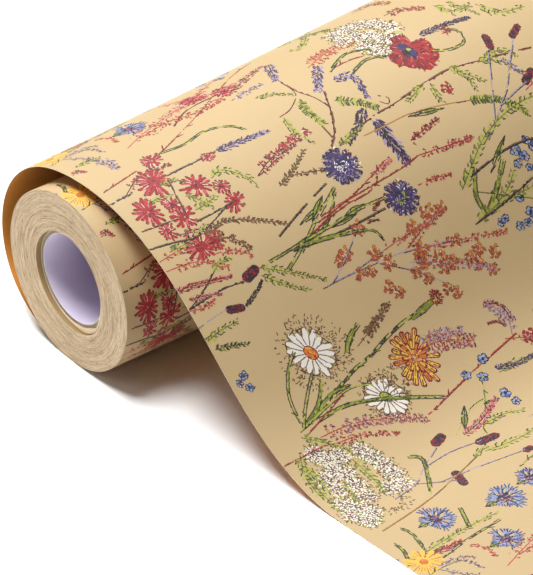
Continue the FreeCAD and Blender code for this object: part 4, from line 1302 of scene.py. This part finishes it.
for k in range(len(coarse) - 1):
    a0, a1 = base_i + k * R1, base_i + (k + 1) * R1
    faces.extend((a0 + r, a1 + r, a1 + r + 1, a0 + r + 1) for r in range(NROW))
index += [1] * (len(faces) - n_print)
for c, k, flip in ((0, 0, False), (NCOL, len(coarse) - 1, True)):
    for r in range(NROW):
        o0, o1, i0, i1 = c * R1 + r, c * R1 + r + 1, base_i + k * R1 + r, base_i + k * R1 + r + 1
        faces.append((o0, o1, i1, i0) if flip else (o0, i0, i1, o1))
        index.append(2)
for r, flip in ((0, False), (NROW, True)):
    for k in range(len(coarse) - 1):
        top = [c * R1 + r for c in range(coarse[k], coarse[k + 1] + 1)]
        ring = top + [base_i + (k + 1) * R1 + r, base_i + k * R1 + r]
        faces.append(tuple(ring[::-1]) if flip else tuple(ring))
        index.append(2)
sheet = make("paper_sheet", verts.tolist(), faces, [MAT_PRINT, MAT_INSIDE, MAT_CUT], index)
sheet.data.attributes.new("web", "FLOAT_VECTOR", "POINT").data.foreach_set("vector", web.astype(np.float32).ravel())
a_s, b_s = carry(xe, NROW, sheet_y, sheet_row, strokes_in(0, WEB_W, S_START, SH + END_NEAR))
set_strokes(sheet.data, a_s, b_s)

# ------------------------------------------------------------------ the wound pack
NA = 144
CIRC = 2 * math.pi * PACK_R
TURNS = 75.0


def phi_of(j):
    """Angle from -Y towards +Z of angular step j; the print starts where the loose turn takes off."""
    return math.radians(615.0 - 360.0 * j / NA)


def hole(phi):
    """Radius of the hole in the pack: the innermost laps have slumped towards the lower right."""
    d = (math.degrees(phi) - 304.0 + 180.0) % 360.0 - 180.0
    wide = 30.0 if d < 0 else 34.0
    return 14.06 + 1.22 * math.exp(-(d / wide) ** 2)


pe = np.r_[np.linspace(0, 46.2, 43), np.linspace(46.2, WEB_W, 150)[1:]]
NP = len(pe) - 1
rng = np.random.default_rng(5)
RINGS = 38


def ring_wave(seed):
    g = np.random.default_rng(seed)
    jit = np.cumsum(g.normal(0, 0.035, RINGS)) * 0.6 + g.normal(0, 0.035, RINGS)
    jit -= np.linspace(jit[0], jit[-1], RINGS)
    amp, ph, fr = g.uniform(0.012, 0.05, (RINGS, 3)), g.uniform(0, 6.28, (RINGS, 3)), np.array([1, 2, 3])
    for q in range(1, RINGS):
        ph[q] = ph[q - 1] + g.normal(0, 0.35, 3)
    return lambda i, phi: jit[i] + float(np.sum(amp[i] * np.sin(fr * phi + ph[i])))


verts, lay, faces, index, wcorner = [], [], [], [], []
phis = [phi_of(j) for j in range(NA)]
for x in pe:
    for p in phis:
        verts.append(((x - HALF), -PACK_R * math.cos(p), PACK_R * math.sin(p)))
        lay.append((TURNS, math.cos(p) * 25.5, math.sin(p) * 25.5))


def vid(c, j):
    return c * NA + j % NA


for c in range(NP):
    for j in range(NA):
        faces.append((vid(c, j), vid(c, j + 1), vid(c + 1, j + 1), vid(c + 1, j)))
        y0, y1 = -CIRC + j * CIRC / NA, -CIRC + (j + 1) * CIRC / NA
        wcorner += [(pe[c], y0, 0), (pe[c], y1, 0), (pe[c + 1], y1, 0), (pe[c + 1], y0, 0)]
index += [0] * len(faces)
n_pack = len(faces)


def end_face(x_end, sign, seed, edge_row):
    """Terraced end of the pack; returns the row of vertices at the hole."""
    wave = ring_wave(seed)
    prev = edge_row
    for i in range(RINGS):
        for q, f in ((0, (i + 0.06) / RINGS), (1, (i + 0.94) / RINGS)):
            row = []
            for j, p in enumerate(phis):
                rh = hole(p)
                r = PACK_R - 0.02 - (PACK_R - 0.02 - rh) * f
                soft = min(1.0, i / 2.0 + 0.15)
                x = x_end - sign * (0.0 if (i == 0 and q == 0) else wave(i, p) * soft + 0.03 * math.sin(7 * f * 6.28 + 2 * p))
                row.append(len(verts))
                verts.append((x, -r * math.cos(p), r * math.sin(p)))
                lay.append((TURNS * (1 - f) + math.degrees(p) / 360.0, math.cos(p) * r, math.sin(p) * r))
            for j in range(NA):
                k = (j + 1) % NA
                quad = (prev[j], row[j], row[k], prev[k])
                faces.append(quad if sign > 0 else quad[::-1])
                index.append(1)
            prev = row
    return prev


near = end_face(-HALF, 1, 3, [vid(0, j) for j in range(NA)])
far = end_face(HALF, -1, 4, [vid(NP, j) for j in range(NA)])
prev = near
for x in (-HALF + 0.6, -HALF + 4, -HALF + 40, 0.0, HALF - 40, HALF - 4, HALF - 0.6, None):
    if x is None:
        row = far
    else:
        row = []
        for p in phis:
            row.append(len(verts))
            verts.append((x, -(hole(p) + 0.03) * math.cos(p), (hole(p) + 0.03) * math.sin(p)))
            lay.append((0, 0, 0))
    for j in range(NA):
        k = (j + 1) % NA
        faces.append((prev[j], row[j], row[k], prev[k]))
        index.append(2)
    prev = row
pack = make("paper_pack", (np.array(verts) * MM).tolist(), faces, [MAT_PRINT, MAT_LAYERS, MAT_HOLE], index, 50)
pack.data.attributes.new("lay", "FLOAT_VECTOR", "POINT").data.foreach_set("vector", np.array(lay, np.float32).ravel())
wc = np.zeros((len(pack.data.loops), 3), np.float32)
wc[:len(wcorner)] = np.array(wcorner, np.float32)
pack.data.attributes.new("web", "FLOAT_VECTOR", "CORNER").data.foreach_set("vector", wc.ravel())
a_p, b_p = carry(pe, NA, lambda r, x: -CIRC + np.asarray(r, float) * CIRC / NA + 0 * np.asarray(x, float),
                 lambda y, x: (y + CIRC) / CIRC * NA, strokes_in(0, WEB_W, -CIRC, 0, 4.0))
set_strokes(pack.data, a_p, b_p)


# ------------------------------------------------------------------ innermost laps of paper, and the core's plies
def tube_piece(name, r_in, r_out, x0, x1, mats, ragged, seed, steps=180, angles=None, columns=(0.0, 1.0, 6.0), sunk=None):
    """Closed tube, or an open band where angles is (first, last) in degrees, with unevenly cut ends.
    r_in and r_out are functions of the angle."""
    g = np.random.default_rng(seed)
    closed = angles is None
    a0, a1 = (0.0, 360.0) if closed else angles
    n = steps if closed else steps + 1
    ph = [math.radians(a0 + (a1 - a0) * j / steps) for j in range(n)]
    cut = [[g.normal(0, ragged) for _ in range(n)] for _ in range(4)]
    for row in cut:                              # soften the raggedness a little
        src = list(row)
        for j in range(n):
            row[j] = 0.5 * src[j] + 0.25 * (src[j - 1] + src[(j + 1) % n])
    xs = [x0 + c for c in columns] + [0.5 * (x0 + x1)] + [x1 - c for c in reversed(columns)]
    loop = [("o", x, 0) for x in xs] + [("i", x, 1) for x in reversed(xs)]
    v, f, mi = [], [], []
    m = len(loop)
    for j, p in enumerate(ph):
        for which, x, _s in loop:
            r = r_out(p) if which == "o" else r_in(p)
            k = 0 if which == "o" else 1
            if x == x0:
                x = x0 + abs(cut[k][j]) + (sunk(p) if sunk else 0.0)
            elif x == x1:
                x = x1 - abs(cut[k + 2][j]) - (sunk(p) if sunk else 0.0)
            elif sunk and abs(x - x0) < 1.5:
                x += 1.4
            elif sunk and abs(x - x1) < 1.5:
                x -= 1.4
            v.append((x * MM, -r * math.cos(p) * MM, r * math.sin(p) * MM))
    for j in range(n if closed else n - 1):
        k = (j + 1) % n
        for q in range(m):
            w = (q + 1) % m
            f.append((j * m + q, j * m + w, k * m + w, k * m + q))
            mi.append(0 if (q < m // 2 - 1 or m // 2 <= q < m - 1) else 1)
    if not closed:
        f.append(tuple(range(m - 1, -1, -1)))
        f.append(tuple((n - 1) * m + q for q in range(m)))
        mi += [1, 1]
    mi = [min(x, len(mats) - 1) for x in mi]
    return make(name, v, f, mats, mi, 35)


core_x0, core_x1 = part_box("core_liner_ply")[0].x / MM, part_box("core_liner_ply")[1].x / MM


def const(r):
    return lambda p: r


radii = [12.7, 12.9, 13.25, 13.6, 13.8]
for i, (node, mats, ragged) in enumerate((
        ("core_liner_ply", [MAT_LINER, MAT_RIM], 0.05), ("core_board_ply_inner", [MAT_BOARD], 0.14),
        ("core_board_ply_outer", [MAT_BOARD], 0.16), ("core_cover_ply", [MAT_COVER], 0.09))):
    piece = tube_piece(node + "_tube", const(radii[i]), const(radii[i + 1]), core_x0, core_x1, mats, ragged, 30 + i)
    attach(piece, "roll")
    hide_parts(node)


def lap_out(p):
    return hole(p) - 0.17


def lap_in(p):
    d = (math.degrees(p) - 322.0 + 180.0) % 360.0 - 180.0
    lean = 0.42 * math.exp(-(d / 11.0) ** 2)
    return min(hole(p) - 0.30, 13.83 + lean)


def lap_sunk(p):
    """How far the lap's ends have slipped in: most at the +Y side, nothing where it has slumped."""
    return 1.25 * (0.5 + 0.5 * math.cos(p - math.radians(180.0))) ** 0.7


lap = tube_piece("paper_inner_lap", lap_in, lap_out, -HALF + 0.12, HALF - 0.12, [MAT_LAP], 0.04, 40, 180, sunk=lap_sunk)
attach(lap, "roll")
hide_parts("paper_first_turn")

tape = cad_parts["starter_tape"]
tape.data.materials.clear()
tape.data.materials.append(MAT_TAPE)

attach(pack, "roll")
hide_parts("paper_wound_pack")

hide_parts("paper_loose_turn", "paper_draped_sheet", "paper_free_end")
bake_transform(sheet)

# ------------------------------------------------------------------ floor, light and camera
mesh = bpy.data.meshes.new("floor")
z = FLOOR * MM - 0.00002
mesh.from_pydata([(-4, -4, z), (4, -4, z), (4, 4, z), (-4, 4, z)], [], [(0, 1, 2, 3)])
floor = bpy.data.objects.new("floor", mesh)
bpy.context.scene.collection.objects.link(floor)
t = Nodes("floor_white")
mesh.materials.append(t.bsdf((0.94, 0.94, 0.94), 0.75))

world = bpy.data.worlds.new("studio")
bpy.context.scene.world = world
world.use_nodes = True
world.node_tree.nodes["Background"].inputs[0].default_value = (1.0, 0.995, 0.985, 1)
world.node_tree.nodes["Background"].inputs[1].default_value = 0.08
bpy.context.scene.view_settings.view_transform = "Standard"


def area(name, where, aim, size, power, colour=(1, 1, 1)):
    d = bpy.data.lights.new(name, "AREA")
    d.shape = "DISK"
    d.size = size
    d.energy = power
    d.color = colour
    o = bpy.data.objects.new(name, d)
    bpy.context.scene.collection.objects.link(o)
    o.location = where
    o.rotation_euler = (Vector(aim) - Vector(where)).to_track_quat("-Z", "Y").to_euler()


area("overhead", (-0.36, 0.14, 1.28), (-0.15, -0.03, 0), 0.62, 26.0)
area("key", (0.05, 0.80, 1.00), (-0.1, -0.02, 0), 0.6, 10.5)
area("side", (-1.00, 0.15, 0.80), (-0.2, 0, 0), 0.6, 1.2)

AZ, EL, DIST = math.radians(-38.2), math.radians(35.9), 1500.0
back = np.array([math.sin(AZ) * math.cos(EL), -math.cos(AZ) * math.cos(EL), math.sin(EL)])
right = np.array([math.cos(AZ), math.sin(AZ), 0.0])
up = np.cross(back, right)
target = np.array([-HALF, 0, 0]) + 51.6973 * right - 1.6815 * up
cam_data = bpy.data.cameras.new("camera")
cam = bpy.data.objects.new("camera", cam_data)
bpy.context.scene.collection.objects.link(cam)
cam.location = (target + DIST * back) * MM
cam.rotation_mode = "QUATERNION"
cam.rotation_quaternion = Vector(-back).to_track_quat("-Z", "Y")
cam_data.sensor_width = 36.0
cam_data.lens = 36.0 * 3.83553 * DIST / 575.0
cam_data.clip_start, cam_data.clip_end = 0.05, 50.0
bpy.context.scene.camera = cam
